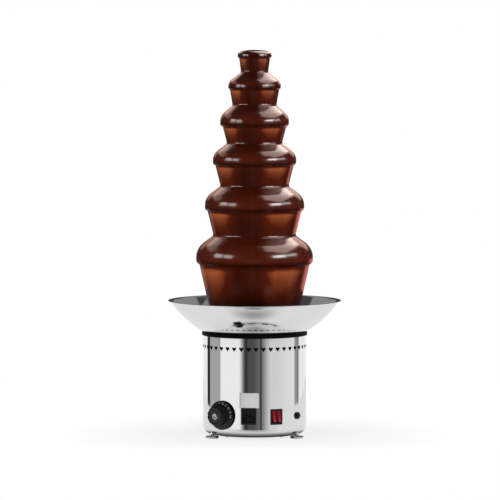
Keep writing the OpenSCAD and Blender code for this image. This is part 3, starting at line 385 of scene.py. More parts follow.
bowl_line = np.vstack([
    np.column_stack([np.linspace(12.7, 104, 12), np.full(12, BOWL_FLOOR)]),
    rounded([[104, BOWL_FLOOR], BOWL_FOOT, bowl_arc(0, BOWL_FLOOR, 222, 2)[1]], [2.5])[1:-1],
    bowl_arc(0, 222, BOWL_MOUTH[1] - 2, 48),
    rounded([bowl_arc(0, BOWL_FLOOR, BOWL_MOUTH[1] - 2, 2)[1], BOWL_MOUTH, BOWL_MOUTH + BOWL_LIP], [2.2])[1:],
])
spun = steel_finish("spun_steel", 0.80, 0.05, 0.07, 0.03)
spun_bowl = skin("spun_bowl", turned(sheet_section(bowl_line, BOWL_SHEET) * MM, 288), closed_rows=True)
bowl_light = bpy.data.collections.new("bowl_light")
bowl_light.objects.link(piece("spun_bowl", spun_bowl, spun, "base", "bowl", slot="polished_steel"))
dress(plain, "bowl_studs", "bowl_collar")


# Heater under the bowl: a cast aluminium ring on a felt pad, pressed against the bowl's floor. The
# thermostat's copper bulb lies beside it.

aluminium = steel_finish("cast_aluminium", 0.55, 0.35, 0.15, 0.2)
copper = steel_finish("copper", 0.75, 0.22, 0.12, 0.1, tint=(1, 0.48, 0.28))
felt, felt_shader, felt_place = new_finish("felt", Roughness=0.95)
felt_fibre = felt_place.noise(420, detail=6)
feed(
    felt_shader,
    Base_Color=felt_fibre.mix((0.50, 0.45, 0.35, 1), (0.78, 0.73, 0.62, 1)),
    Normal=felt_fibre.bump(0.8, 0.6 * MM),
)
dress(aluminium, "heater_ring")
dress(felt, "insulation_pad")
dress(copper, "thermostat_bulb")


# Motor and gears inside the can: a small motor turns a nylon gear on the drive shaft, in a cast case
# that hangs from the top plate.

bronze = steel_finish("bearing_bronze", 0.70, 0.25, 0.12, 0.1, tint=(1, 0.74, 0.36))
nylon, nylon_shader, nylon_place = new_finish("gear_nylon", IOR=1.5)
nylon_cloud = nylon_place.noise(120)
feed(
    nylon_shader,
    Base_Color=nylon_cloud.mix((0.70, 0.66, 0.52, 1), (0.82, 0.78, 0.66, 1)),
    Roughness=0.4 + 0.15 * nylon_cloud,
)
dress(aluminium, "gear_case", "gear_case_lid")
dress(plain, "drive_bolts", "stator_core", "rotor", "drive_shaft", "drive_pin")
dress(dark_metal, "motor_can", "motor_endcap")
dress(copper, "stator_windings")
dress(bronze, "bearings")
dress(nylon, "drive_gear")


# Auger: a stainless flight wound round a plain shaft. It stands inside the tower's tube and shows when
# the tower is lifted off.

FLIGHT_BOTTOM = 247.2
FLIGHT_TOP = 766.2
FLIGHT_PITCH = 60.0
FLIGHT_RADII = (8.2, 22.0)
FLIGHT_THICKNESS = 2.4


def flight_points(rows=620):
    """A helicoid: the section, a thin bar from the shaft to the flight's edge with a rounded tip, rises by
    one pitch in each turn. Both ends are drawn to a point."""
    share = np.linspace(0, 1, rows)[:, None]
    height = FLIGHT_BOTTOM + (FLIGHT_TOP - FLIGHT_BOTTOM) * share
    angle = 2 * np.pi * (height - FLIGHT_BOTTOM) / FLIGHT_PITCH
    inner, outer = FLIGHT_RADII
    half = FLIGHT_THICKNESS / 2
    section = rounded([
        [inner, 0], [inner, -half], [outer, -half], [outer, half], [inner, half], [inner, 0],
    ], [0.1, 1.1, 1.1, 0.1], 5)
    taper = np.minimum(1, np.minimum(share, 1 - share) * rows / 4)
    radius = inner + (section[None, :-1, 0] - inner) * taper
    rise = section[None, :-1, 1] * taper
    return np.stack([radius * np.cos(angle), radius * np.sin(angle), height + rise], axis=-1) * MM


piece("auger_screw", skin("auger_screw", flight_points()), plain, "drive", "auger_flight", slot="plain_steel")
dress(plain, "auger_shaft")


# Tower: a polished tube with ports at its foot, and domes that sit on stop rings. Chocolate hides it all
# while the fountain runs.

dress(polished, "tower_tube", "crown_cup", *[f"dome_{k}" for k in range(1, 6)])
dress(plain, "dome_stops")


# Chocolate: a film over each dome that rounds its edge, gathers under it and falls as a curtain onto the
# next one. It is warm, wet and smooth; on the falls light is painted in bands, and shade between them.

COAT_START = 25.65
RIM_RADIUS = [54.2, 71.1, 86.3, 102.9, 121.2]
RIM_HEIGHT = [726.7, 653.2, 572.5, 479.2, 370.5]
RIM_EDGE = [15.5, 24.5, 26.0, 31.5, 39.0]
DOME_FALL = [37, 40, 36, 36, 36]
LIP_RADIUS = [3.5, 7.0, 6.8, 7.2, 9.0]
LIP_FALL = [3.6, 4.2, 3.9, 4.2, 4.6]
CURTAIN_LEAN = [9.9, 14.2, 13.9, 13.7, 12.7]
CURTAIN = 2.8
FILM = 2.35
LIP_TURN = 70
POOL_HEIGHT = 249.2
# Painted light: bearings from the front where the falls are painted lighter, with the strength of each band.
PAINTED_LIGHT_BANDS = {-136: 1.7, -77: 1.0, -48: 1.45, 6: 0.35, 34: 1.36, 64: 0.58, 104: 1.7, 162: 1.7}
PAINTED_LIGHT_WIDTH = 21


def heading(degrees):
    """Unit vector at an angle above outwards."""
    return np.array([np.cos(np.radians(degrees)), np.sin(np.radians(degrees))])


def flank(k, depth=0):
    """A point on a dome's straight flank at a depth under the chocolate, and the way the flank falls."""
    centre = np.array([RIM_RADIUS[k] - RIM_EDGE[k], RIM_HEIGHT[k]])
    return centre + (RIM_EDGE[k] - depth) * heading(90 - DOME_FALL[k]), heading(-DOME_FALL[k])


def crossing(p, d, q, e):
    """The point where the line from p along d meets the line from q along e."""
    return p + d * np.linalg.solve(np.column_stack([d, -e]), q - p)[0]


def hanging(rim, height, lip, fall, lean, rest, slope):
    """From the widest point of a coat down: a short fall, the drip edge, the crease under it, the curtain,
    and a small hollow where it spreads on what it lands on, a line through rest along slope."""
    centre = np.array([rim - lip, height - fall])
    under = heading(180 + 90 - LIP_TURN)
    crease = centre + lip * heading(-LIP_TURN) + 0.9 * under
    drop = heading(-90 - lean)
    foot = crossing(crease, drop, rest, slope)
    end = foot + 9 * slope + 0.5 * np.array([slope[1], -slope[0]])
    corner = np.array([rim, height - fall - lip * np.tan(np.radians(LIP_TURN / 2))])
    outside = rounded([[rim, height], corner, crease, foot, end], [lip, 1.5, 7.5], 11)
    inner_top = centre + lip * heading(-LIP_TURN) - [CURTAIN, 0]
    inside = np.array([end + [-2, -2.5], crossing(inner_top, drop, rest, slope) - [0, 1.5], inner_top])
    return outside, inside


def spaced(line, step):
    """The line with points added so that neighbours are at most a step apart."""
    across = np.diff(line, axis=0)
    count = np.maximum(1, np.ceil(np.linalg.norm(across, axis=1) / step).astype(int))
    number = np.arange(count.sum()) - np.repeat(np.cumsum(count) - count, count)
    steps = np.repeat(across / count[:, None], count, axis=0)
    return np.vstack([np.repeat(line[:-1], count, axis=0) + steps * number[:, None], line[-1:]])


def folds(angle, orders, seed):
    """A sum of cosines of whole orders round the axis, with set phases, at most about 1."""
    phase = np.random.default_rng(seed).uniform(0, 2 * np.pi, len(orders))
    weight = 1 / np.sqrt(np.arange(1, len(orders) + 1))
    return (weight[:, None] * np.cos(np.outer(orders, angle) + phase[:, None])).sum(axis=0) / weight.sum()


def coat_points(outside, inside, rim, seed, columns=256):
    """A coat turned about the axis. Its outside has soft folds down the flow, which grow from nothing on the
    dome to the drip edge and stay on the curtain, and faint rings that travel down the dome."""
    outer = spaced(outside, 2.2)
    inner = spaced(np.vstack([outside[-1:], inside]), 8)[1:]
    angle = np.arange(columns) * 2 * np.pi / columns
    below = np.clip((rim - 2 - outer[:, 1]) / 14, 0, 1)[:, None]
    run = np.concatenate([[0], np.cumsum(np.linalg.norm(np.diff(outer, axis=0), axis=1))])[:, None]
    broad = folds(angle, [3, 5, 8, 13], seed)[None]
    fine = folds(angle, [21, 34, 47], seed + 1)[None]
    rings = np.cos(run / 2.1 + 2.5 * broad)
    ease = np.clip((run[-1] - run) / 12, 0, 1)
    ripple = ease * (below * (0.34 * broad + 0.10 * fine) + (1 - below) * 0.008 * rings)
    still = np.zeros((len(inner), columns))
    return turned(np.vstack([outer, inner]) * MM, columns, np.vstack([ripple, still]) * MM)


def chocolate_finish():
    """Wet chocolate: dark, with streaks down the flow from noise on the direction round the axis. The mesh's
    attribute painted_light goes up to 1 where light is painted, so that it is lighter and redder, and down
    to -1 where shade is painted, so that it is darker."""
    material, shader, place = new_finish("chocolate", IOR=1.38)
    flat = place.node("ShaderNodeVectorMath", {0: place, 1: (1, 1, 0.0)}, {"operation": "MULTIPLY"})
    around = flat.node("ShaderNodeVectorMath", {0: flat}, {"operation": "NORMALIZE"})
    streaks = around.noise(5.5, detail=5)
    clouds = place.noise(22)
    tone = (0.75 * streaks + 0.25 * clouds).ease(0.34, 0.68)
    painted_light = place.node("ShaderNodeAttribute", {}, {"attribute_name": "painted_light"}, out="Fac")
    # usual is the chocolate's own colour; light is painted light and deep is painted shade.
    usual = tone.mix((0.092, 0.0110, 0.0030, 1), (0.118, 0.0145, 0.0042, 1))
    light = tone.mix((0.440, 0.107, 0.034, 1), (0.580, 0.148, 0.050, 1))
    deep = tone.mix((0.020, 0.0028, 0.0006, 1), (0.030, 0.0042, 0.0010, 1))
    feed(
        shader,
        Base_Color=painted_light.mix((0 - painted_light).mix(usual, deep), light),
        Roughness=0.13 + 0.10 * streaks,
        Normal=clouds.bump(0.05, 0.4 * MM),
    )
    return material


def poured(name, mesh, drip, node, body="tower"):
    """A piece of chocolate. From the drip edge's height down, light is painted in bands round the axis, each
    a bell curve of the angle to the band's middle, with painted shade between them. The bands fade towards
    the foot as a falling exponential, and the edge's underside gets painted shade nearly as dark as between
    them."""
    place = np.empty(3 * len(mesh.vertices))
    mesh.vertices.foreach_get("co", place)
    x, y, z = place.reshape(-1, 3).T
    depth = drip * MM - z
    share = np.clip(depth / max(depth.max(), MM), 0, 1)
    aside = np.degrees(np.arctan2(x, -y))[:, None] - np.array(list(PAINTED_LIGHT_BANDS))
    bells = np.exp(-(np.abs((aside + 180) % 360 - 180) / PAINTED_LIGHT_WIDTH) ** 2.5)
    falling = np.clip(share * 9, 0, 1)
    # Painted shade: the painted light fades towards the foot of each fall.
    fading = 0.42 + 1.15 * np.exp(-3.4 * share)
    painted_light = falling * (bells @ list(PAINTED_LIGHT_BANDS.values()) * fading - 0.06)
    # Painted shade: from just above the drip edge's height down, over its underside and the whole fall.
    painted_light -= 0.8 * np.clip(depth / (6 * MM) + 1.8, 0, 1)
    mesh.attributes.new("painted_light", "FLOAT", "POINT").data.foreach_set("value", painted_light)
    coat = piece(name, mesh, chocolate, body, node, slot="chocolate")
    for lit in [coats, falls] if body == "tower" else [coats]:
        lit.objects.link(coat)


chocolate = chocolate_finish()
coats, falls = [bpy.data.collections.new(lit) for lit in ("coats", "falls")]
for k in range(5):
    rest, slope = flank(k + 1) if k < 4 else (np.array([0, POOL_HEIGHT]), heading(0))
    lower, inside = hanging(
        RIM_RADIUS[k], RIM_HEIGHT[k], LIP_RADIUS[k], LIP_FALL[k], CURTAIN_LEAN[k], rest, slope)
    top, fall = flank(k)
    deep, _ = flank(k, FILM)
    start = crossing(top, fall, np.array([COAT_START, 0]), heading(90))
    shoulder = crossing(top, fall, np.array([RIM_RADIUS[k], 0]), heading(90))
    upper = rounded([start, shoulder, [RIM_RADIUS[k], RIM_HEIGHT[k] - 1]], [RIM_EDGE[k]], 25)[:-1]
    edge = RIM_RADIUS[k] - FILM
    below = RIM_HEIGHT[k] - LIP_FALL[k] + 0.75
    back = rounded([
        [edge, below],
        crossing(deep, fall, np.array([edge, 0]), heading(90)),
        crossing(deep, fall, np.array([COAT_START, 0]), heading(90)),
    ], [RIM_EDGE[k] - FILM], 9)
    inside = np.vstack([inside, [[edge - 1.7, below]], back])
    points = coat_points(np.vstack([upper, lower[1:]]), inside, RIM_HEIGHT[k], 11 + 7 * k)
    name = f"coat_{k + 1}"
    drip = RIM_HEIGHT[k] - LIP_FALL[k] - 0.94 * LIP_RADIUS[k]
    poured(name, skin(name, points, closed_rows=True), drip, f"chocolate_tier_{k + 1}")


# Crown: chocolate wells over the cup at the top of the tube in a low dome, half a superellipse across, and
# falls onto the first dome.

CROWN_RADIUS = 35.2
CROWN_HEIGHT = 790.4
CROWN_RISE = 10.2
CROWN_POWER = 2.4

crown_turn = np.radians(np.linspace(90, 0, 48))
crown_top = [0, CROWN_HEIGHT] + [CROWN_RADIUS, CROWN_RISE] * np.column_stack(
    [np.cos(crown_turn), np.sin(crown_turn)]).clip(0) ** (2 / CROWN_POWER)
crown_lower, crown_inside = hanging(CROWN_RADIUS, CROWN_HEIGHT, 3.6, 2.6, 7.6, *flank(0))
crown_cup = [[31.65, 786.7], [31.65, 787.95], [29.95, 787.95], [25.8, 779.65], [0, 779.65]]
crown_points = coat_points(
    np.vstack([crown_top, crown_lower[1:]]), np.vstack([crown_inside, crown_cup]), CROWN_HEIGHT, 3)
poured("crown_coat", skin("crown_coat", crown_points), CROWN_HEIGHT - 6, "chocolate_crown")


# Pool: the chocolate that fills the bowl's floor. It climbs a little at the wall, and the last curtain
# sends rings across it.

POOL_WAVE = 9.0
POOL_FOOT = 92.0


def pool_points(columns=256):
    """The pool's top, with rings that fade outwards from the curtain's foot, and its wall and floor, which
    lie on the bowl's."""
    wall = bowl_arc(BOWL_SHEET + 0.25, 219.45, POOL_HEIGHT + 0.9, 24)
    top = np.column_stack([np.linspace(38.25, wall[-1, 0] - 0.4, 90), np.full(90, POOL_HEIGHT)])
    top[:, 1] += 0.9 * np.exp((top[:, 0] - wall[-1, 0]) / 2.5)
    angle = np.arange(columns) * 2 * np.pi / columns
    out = np.maximum(top[:, :1] - POOL_FOOT, 0)
    rings = np.cos(2 * np.pi * out / POOL_WAVE + 1.5 * folds(angle, [2, 5, 9], 71)[None])
    ripple = 0.45 * np.exp(-out / 16) * np.minimum(1, out / 3) * rings
    still = np.zeros((len(wall) + 1, columns))
    line = np.vstack([top, wall[::-1], [[38.25, 219.45]]])
    return turned(line * MM, columns, np.vstack([-ripple, still]) * MM)


poured("pool", skin("pool", pool_points(), closed_rows=True), 0, "chocolate_pool", "base")


# Thermostat knob: moulded black plastic with a numbered skirt, a fluted grip and a bright cap pressed
# into its face. It turns the thermostat's spindle.

PANEL_HEIGHT = 51 * MM
KNOB_ANGLE = -38.0
GRIP_RADIUS = 20.0
SKIRT_RADIUS = 30.0
KNOB_BACK = 2.0
SKIRT_TOP = 5.4
KNOB_FACE = 25.5
FLUTES = 12
FLUTE_DEPTH = 1.0


def on_panel(points, degrees, height=PANEL_HEIGHT):
    """Points given in millimetres to the right, up and out from a place on the can: its angle from the front
    and its height."""
    aim = np.radians(degrees)
    right, out = np.array([np.cos(aim), np.sin(aim), 0]), np.array([np.sin(aim), -np.cos(aim), 0])
    x, y, z = np.moveaxis(np.asarray(points) * MM, -1, 0)[..., None]
    return x * right + y * np.array([0, 0, 1]) + (CAN_RADIUS + z) * out + [0, 0, height]


def facing_turned(line, columns=96, ripple=0):
    """As turned, with the axis out of the panel: x to the right, y up."""
    x, y, z = np.moveaxis(turned(line, columns, ripple), -1, 0)
    return np.stack([x, -y, z], axis=-1)


def knob_points(columns=360):
    """The knob's outline turned about its axis. On the grip's side, flutes go in by a raised cosine."""
    line = spaced(rounded([
        [0, KNOB_BACK], [SKIRT_RADIUS, KNOB_BACK], [SKIRT_RADIUS, SKIRT_TOP - 0.5],
        [GRIP_RADIUS + 0.6, SKIRT_TOP + 0.5], [GRIP_RADIUS, KNOB_FACE], [16.5, KNOB_FACE],
        [14.5, KNOB_FACE - 0.9], [6.85, KNOB_FACE - 0.4], [6.85, KNOB_FACE - 1.2], [0, KNOB_FACE - 1.2],
    ], [0.8, 1.0, 1.2, 1.8, 0.5, 0.5, 0.15, 0.1], 7), 1.2)
    angle = np.arange(columns) * 2 * np.pi / columns
    grip = np.clip((line[:, 1] - SKIRT_TOP - 1) / 3, 0, 1) * np.clip((line[:, 0] - 16) / 2.5, 0, 1)
    flute = (0.5 + 0.5 * np.cos(FLUTES * angle)) ** 1.6
    return facing_turned(line, columns, -FLUTE_DEPTH * grip[:, None] * flute[None])


plastic, plastic_shader, plastic_place = new_finish("black_plastic", IOR=1.5, Specular_IOR_Level=0.3)
plastic_grain = plastic_place.noise(1500, detail=2)
plastic_cloud = plastic_place.noise(70)
face_middle = tuple(on_panel([0, 0, KNOB_FACE], KNOB_ANGLE))
from_face = plastic_place.node(
    "ShaderNodeVectorMath", {0: plastic_place, 1: face_middle}, {"operation": "DISTANCE"}, out="Value")
# Painted highlight: a paler, patchy sheen on the middle of the knob's face.
painted_sheen = (1 - from_face.ease(6 * MM, 19 * MM)) * (0.3 + plastic_cloud)
feed(
    plastic_shader,
    Base_Color=painted_sheen.mix(plastic_cloud.mix(grey(0.009), grey(0.020)), grey(0.065)),
    Roughness=0.30 + 0.16 * plastic_cloud,
    Normal=plastic_grain.bump(0.12, 0.03 * MM),
)
knob_skin = skin("knob", on_panel(knob_points(), KNOB_ANGLE))
piece("knob", knob_skin, plastic, "temperature_knob", "thermostat_knob", slot="black_plastic")

cap_line = rounded([
    [0, KNOB_FACE - 1.2], [6.75, KNOB_FACE - 1.2], [6.75, KNOB_FACE - 0.2], [5.2, KNOB_FACE + 0.7],
    [3.4, KNOB_FACE + 0.5], [2.4, KNOB_FACE - 0.6], [0, KNOB_FACE - 0.7],
], [0.05, 0.6, 1.0, 0.8, 0.8])
cap_skin = skin("knob_insert", on_panel(facing_turned(cap_line), KNOB_ANGLE))
piece("knob_insert", cap_skin, plain, "temperature_knob", "knob_cap", slot="chrome")
dress(plain, "thermostat_spindle")
dress(plastic, "thermostat_body")


# Numbers on the knob's skirt: pale print on the black plastic, one every twenty degrees, with their feet
# towards the grip. They turn with the knob.

NUMBER_SIZE = 6.0
NUMBER_RADIUS = 25.4
NUMBER_START = -8
NUMBER_STEP = 20
NUMBERS = ["0", "30", "45", "60", "75", "90"]

print_paint, print_shader, print_place = new_finish("pale_print", Roughness=0.55)
feed(print_shader, Base_Color=print_place.noise(600).mix(grey(0.46), grey(0.60)))


def number_mesh(words):
    """The outline letters of a number, as a mesh of its own."""
    curve = bpy.data.curves.new("number", "FONT")
    curve.body, curve.size, curve.align_x, curve.align_y = words, NUMBER_SIZE, "CENTER", "CENTER"
    curve.extrude, curve.resolution_u = 0.05, 4
    letters = bpy.data.objects.new("number", curve)
    bpy.context.scene.collection.objects.link(letters)
    mesh = bpy.data.meshes.new_from_object(letters.evaluated_get(bpy.context.evaluated_depsgraph_get()))
    bpy.data.objects.remove(letters)
    bpy.data.curves.remove(curve)
    return mesh


def skirt_numbers():
    """All numbers in one mesh: each is moved out to the skirt and turned to its place round the knob."""
    whole = bmesh.new()
    for k, words in enumerate(NUMBERS):
        mesh = number_mesh(words)
        flat = np.empty(3 * len(mesh.vertices))
        mesh.vertices.foreach_get("co", flat)
        x, y, z = flat.reshape(-1, 3).T
        turn = np.radians(90 - NUMBER_START - NUMBER_STEP * k)
        out = NUMBER_RADIUS + y
        right, up = out * np.cos(turn) + x * np.sin(turn), out * np.sin(turn) - x * np.cos(turn)
        rise = SKIRT_TOP - 0.5 + (SKIRT_RADIUS - out) / (SKIRT_RADIUS - GRIP_RADIUS - 0.6) + 0.06
        spot = np.stack([right, up, z + rise], axis=-1)
        mesh.vertices.foreach_set("co", on_panel(spot, KNOB_ANGLE).ravel())
        whole.from_mesh(mesh)
        bpy.data.meshes.remove(mesh)
    made = bpy.data.meshes.new("skirt_numbers")
    whole.to_mesh(made)
    whole.free()
    return made


numbers = piece("skirt_numbers", skirt_numbers(), print_paint, "temperature_knob", slot="grey_button")
numbers.data.polygons.foreach_set("use_smooth", np.zeros(len(numbers.data.polygons), bool))


# Mains inlet: a moulded black box behind a square bezel, with a recess for the connector, three pins in
# it and a fuse drawer above. It snaps into its cut-out.

def softened(node, name, material, body, width, slot):
    """A node's own shape with its sharp edges rounded by width, as a moulding or a machined part has."""
    points, triangles = joined(node)
    whole = bmesh.new()
    mesh = bpy.data.meshes.new(name)
    mesh.from_pydata(points.tolist(), [], triangles.tolist())
    whole.from_mesh(mesh)
    bmesh.ops.dissolve_limit(whole, angle_limit=0.02, verts=whole.verts, edges=whole.edges)
    whole.to_mesh(mesh)
    whole.free()
    made = piece(name, mesh, material, body, node, slot=slot)
    edges = made.modifiers.new("edges", "BEVEL")
    edges.width, edges.segments, edges.limit_method, edges.angle_limit = width, 2, "ANGLE", 0.6
    edges.harden_normals = True
    return made


softened("inlet_body", "inlet_moulding", plastic, "base", 0.35 * MM, "black_plastic")
softened("inlet_pins", "inlet_blades", dark_metal, "base", 0.25 * MM, "plain_steel")
softened("fuse_drawer", "fuse_drawer_front", plastic, "fuse_holder", 0.3 * MM, "black_plastic")


# Rocker switch: a black frame with two red rockers, one for the motor and one for the heat. They are
# clear red plastic over a lamp and glow faintly; shade is painted at their sides and a pale highlight
# low down. Both are pressed in at the top.

SWITCH_ANGLE = 24.6
ROCKER_MIDDLE = 5.6
ROCKER_HALF = 4.2

lens, lens_shader, lens_place = new_finish("red_lens", Roughness=0.22, IOR=1.5, Specular_IOR_Level=0.25)
lens_cloud = lens_place.noise(260)
switch_right = (np.cos(np.radians(SWITCH_ANGLE)), np.sin(np.radians(SWITCH_ANGLE)), 0)
across = lens_place.node(
    "ShaderNodeVectorMath", {0: lens_place, 1: switch_right}, {"operation": "DOT_PRODUCT"}, out="Value")
aside = across.math("ABSOLUTE", across.math("ABSOLUTE", across) - ROCKER_MIDDLE * MM) / (ROCKER_HALF * MM)
lens_height = lens_place.node("ShaderNodeSeparateXYZ", {"Vector": lens_place}, out="Z")
# Painted highlight: pale pink low down in the middle of each rocker.
painted_highlight = (1 - aside.ease(0.1, 0.7)) * (1 - lens_height.ease(PANEL_HEIGHT - 9 * MM, PANEL_HEIGHT + 5 * MM))
lens_red = lens_cloud.mix((0.36, 0.006, 0.016, 1), (0.46, 0.010, 0.024, 1))
lens_middle = painted_highlight.mix(lens_red, (0.56, 0.085, 0.105, 1))
# Painted shade: each rocker darkens to nearly black red at its sides.
feed(lens_shader, Base_Color=aside.ease(0.35, 1.0).mix(lens_middle, (0.05, 0.002, 0.004, 1)))
lens_shader.inputs["Emission Color"].default_value = (0.9, 0.02, 0.04, 1)
lens_shader.inputs["Emission Strength"].default_value = 0.03
softened("switch_body", "switch_frame", plastic, "base", 0.35 * MM, "black_plastic")
softened("motor_rocker", "motor_rocker_lens", lens, "motor_switch", 0.4 * MM, "red_lens")
softened("heater_rocker", "heater_rocker_lens", lens, "heater_switch", 0.4 * MM, "red_lens")


# Overload reset: a black threaded neck with a hexagon nut, and a grey button that pops out when the
# motor has been overloaded.

RESET_ANGLE = 54.5
RESET_HEIGHT = 48 * MM
button_grey, button_shader, button_place = new_finish("grey_button", IOR=1.5)
button_cloud = button_place.noise(300)
feed(
    button_shader,
    Base_Color=button_cloud.mix(grey(0.018), grey(0.030)),
    Roughness=0.35 + 0.15 * button_cloud,
)
button_line = rounded([[0, -5.3], [4, -5.3], [4, 6.4], [3, 6.4], [2.6, 6.1], [0, 6.0]], [0.3, 0.7, 0.15, 0.3])
button_skin = skin("reset_cap", on_panel(facing_turned(button_line, 64), RESET_ANGLE, RESET_HEIGHT))
piece("reset_cap", button_skin, button_grey, "reset", "reset_button", slot="grey_button")
softened("panel_nuts", "panel_nut_pair", plastic, "base", 0.4 * MM, "black_plastic")
dress(plastic, "breaker_body")


# Rating plate: a thin bare plate of pale satin foil, stuck to the can above the inlet. It is bent to the
# can's curve.

PLATE_ANGLE = -5.6
PLATE_SIZE = (40.5, 31.5)
PLATE_MIDDLE = 83.0
PLATE_THICKNESS = 0.3


def plate_points(rows=12, columns=24):
    """Front and back of a plate bent to the can's radius: across is an angle, and the thickness closes at
    the left and right ends."""
    across = np.linspace(-1, 1, columns)
    up = np.linspace(-1, 1, rows)
    swell = PLATE_THICKNESS * np.minimum(1, (1 - np.abs(across)) * columns)
    front, back = np.meshgrid(up, swell, indexing="ij"), np.meshgrid(up[::-1], 0 * swell, indexing="ij")
    height, lift = np.vstack([front[0], back[0]]), np.vstack([front[1], back[1]])
    angle = np.radians(PLATE_ANGLE) + across * PLATE_SIZE[0] / 2 * MM / CAN_RADIUS
    radius = CAN_RADIUS + (0.05 + lift) * MM
    z = (PLATE_MIDDLE + height * PLATE_SIZE[1] / 2) * MM
    return np.stack([radius * np.sin(angle), -radius * np.cos(angle), z], axis=-1)


foil, foil_shader, foil_place = new_finish("plate_foil", Specular_IOR_Level=0.2)
foil_grain = foil_place.noise(1, (900, 900, 60), detail=2)
feed(
    foil_shader,
    Base_Color=foil_grain.mix(grey(0.84), grey(0.90)),
    Roughness=0.45 + 0.15 * foil_grain,
)
plate = skin("rating_plate", plate_points(), closed_rows=True, closed_columns=False)
piece("rating_plate", plate, foil, "base", slot="plain_steel")


# Wiring: leads in red insulation between the controls, the motor and the heater, all inside the can and
# fixed at their ends alone.

lead, lead_shader, lead_place = new_finish("lead_insulation", IOR=1.5)
feed(
    lead_shader,
    Base_Color=lead_place.noise(90).mix((0.30, 0.02, 0.015, 1), (0.46, 0.04, 0.03, 1)),
    Roughness=0.35 + 0.1 * lead_place.noise(400),
)
dress(lead, "wiring_leads")


# Studio: a white table top, cut off short in front, and low walls far round it: softboxes left and right, a
# grey flat, a dark gap where the camera stands and a few stands. They show in the polished metal alone.

TABLE_TOP = ((-0.64, 0.755), (-0.235, 1.20))
WALL_REACH = 2.5
WALL_HEIGHTS = (-0.34, 0.03)
WALL_PANELS = [
    # brightness, from and to in degrees round from the front, softness of its two edges
    (0.45, -120, -80, 1, 1),
    (1.04, -80, -28, 1, 7),
    (0.085, -28, 25, 7, 13),
    (0.17, 4, 40, 10, 5),
    (0.78, 25, 98, 13, 2),
    (0.90, 66, 98, 24, 2),
    (0.34, 98.4, 112, 2, 2),
    (0.02, -127.5, -115.5, 2, 2),
    (0.025, -20, -16, 1.5, 1.5),
    (0.05, 12, 15.5, 1, 1),
    (0.12, 109.5, 113.5, 1.5, 1.5),
]


def sheet(name, points, material):
    """A sheet of four-sided faces through a grid of points, which only stands round the fountain."""
    number = np.arange(points.shape[0] * points.shape[1]).reshape(points.shape[:2])
    faces = np.stack([number[:-1, :-1], number[:-1, 1:], number[1:, 1:], number[1:, :-1]], axis=-1)
    mesh = bpy.data.meshes.new(name)
    mesh.from_pydata(points.reshape(-1, 3).tolist(), [], faces.reshape(-1, 4).tolist())
    mesh.materials.append(material)
    made = bpy.data.objects.new(name, mesh)
    bpy.context.scene.collection.objects.link(made)
    return made


def ray_kinds(tree):
    """Wires that are 1 for rays from the camera, and for rays off glossy surfaces."""
    path = tree.nodes.new("ShaderNodeLightPath")
    return [Wire(tree, path.outputs[f"Is {kind} Ray"]) for kind in ("Camera", "Glossy")]


def band(value, low, high, soft_low=3, soft_high=3):
    """1 between low and high, 0 outside, with soft edges."""
    return value.ease(low - soft_low, low + soft_low) * (1 - value.ease(high - soft_high, high + soft_high))


def bearing_of(vector):
    """Angle of a vector round from the front, in degrees."""
    east = vector.node("ShaderNodeSeparateXYZ", {"Vector": vector})
    north = Wire(vector.tree, east.socket.node.outputs["Y"])
    return east.math("ARCTAN2", east, 0 - north) * (180 / np.pi)


table, table_shader, table_place = new_finish("table_top", Roughness=0.9, Emission_Strength=1.0)
from_camera, from_gloss = ray_kinds(table.node_tree)
spread = table_place.node("ShaderNodeVectorMath", {0: table_place}, {"operation": "LENGTH"}, out="Value")
ahead = table_place.node(
    "ShaderNodeMapping", {"Vector": table_place, "Location": (0, 0.185, 0), "Scale": (0.45, 1, 1)})
shade = ahead.node("ShaderNodeVectorMath", {0: ahead}, {"operation": "LENGTH"}, out="Value")
# Painted shadow: in reflections the table's glow is taken away under the can and dimmed in a patch in front
# of the bowl; to the camera the table is a little less white near the fountain.
outside_painted_shadow = spread.ease(0.095, 0.13) * (0.3 + 0.7 * shade.ease(0, 0.09))
glow = (0.80 + 0.20 * spread.ease(0.2, 0.7)) * from_camera + 0.75 * from_gloss * outside_painted_shadow
feed(
    table_shader,
    Base_Color=table_place.noise(6).mix(grey(0.34), grey(0.36)),
    Emission_Color=glow.mix(grey(0), grey(1)),
)
across, along = np.meshgrid(np.linspace(*TABLE_TOP[0], 9), np.linspace(*TABLE_TOP[1], 9))
ground = bpy.data.collections.new("ground")
ground.objects.link(sheet("table_top", np.stack([across, along, 0 * across], axis=-1), table))

panels = bpy.data.materials.new("panels")
panels.use_nodes = True
panels.node_tree.nodes.clear()
panel_light = panels.node_tree.nodes.new("ShaderNodeEmission")
panel_out = panels.node_tree.nodes.new("ShaderNodeOutputMaterial")
panels.node_tree.links.new(panel_out.inputs["Surface"], panel_light.outputs[0])
panel_place = panels.node_tree.nodes.new("ShaderNodeTexCoord").outputs["Object"]
bearing = bearing_of(Wire(panels.node_tree, panel_place))
level = 1.0
for brightness, low, high, soft_low, soft_high in WALL_PANELS:
    level = level + (brightness - level) * band(bearing, low, high, soft_low, soft_high)
panels.node_tree.links.new(panel_light.inputs["Color"], level.socket)
turn, height = np.meshgrid(np.radians(np.linspace(-180, 180, 181)), WALL_HEIGHTS)
wall_points = np.stack([WALL_REACH * np.sin(turn), -WALL_REACH * np.cos(turn), height], axis=-1)
walls = sheet("walls", wall_points, panels)
walls.visible_camera = walls.visible_diffuse = walls.visible_shadow = False
metal = bpy.data.collections.new("metal")
for coat in coats.objects:
    metal.objects.link(coat)
for link in metal.collection_objects:
    link.light_linking.link_state = "EXCLUDE"
walls.light_linking.receiver_collection = ground.objects[0].light_linking.receiver_collection = metal

# Room: dark, with a little even light. The background that the camera sees is white.

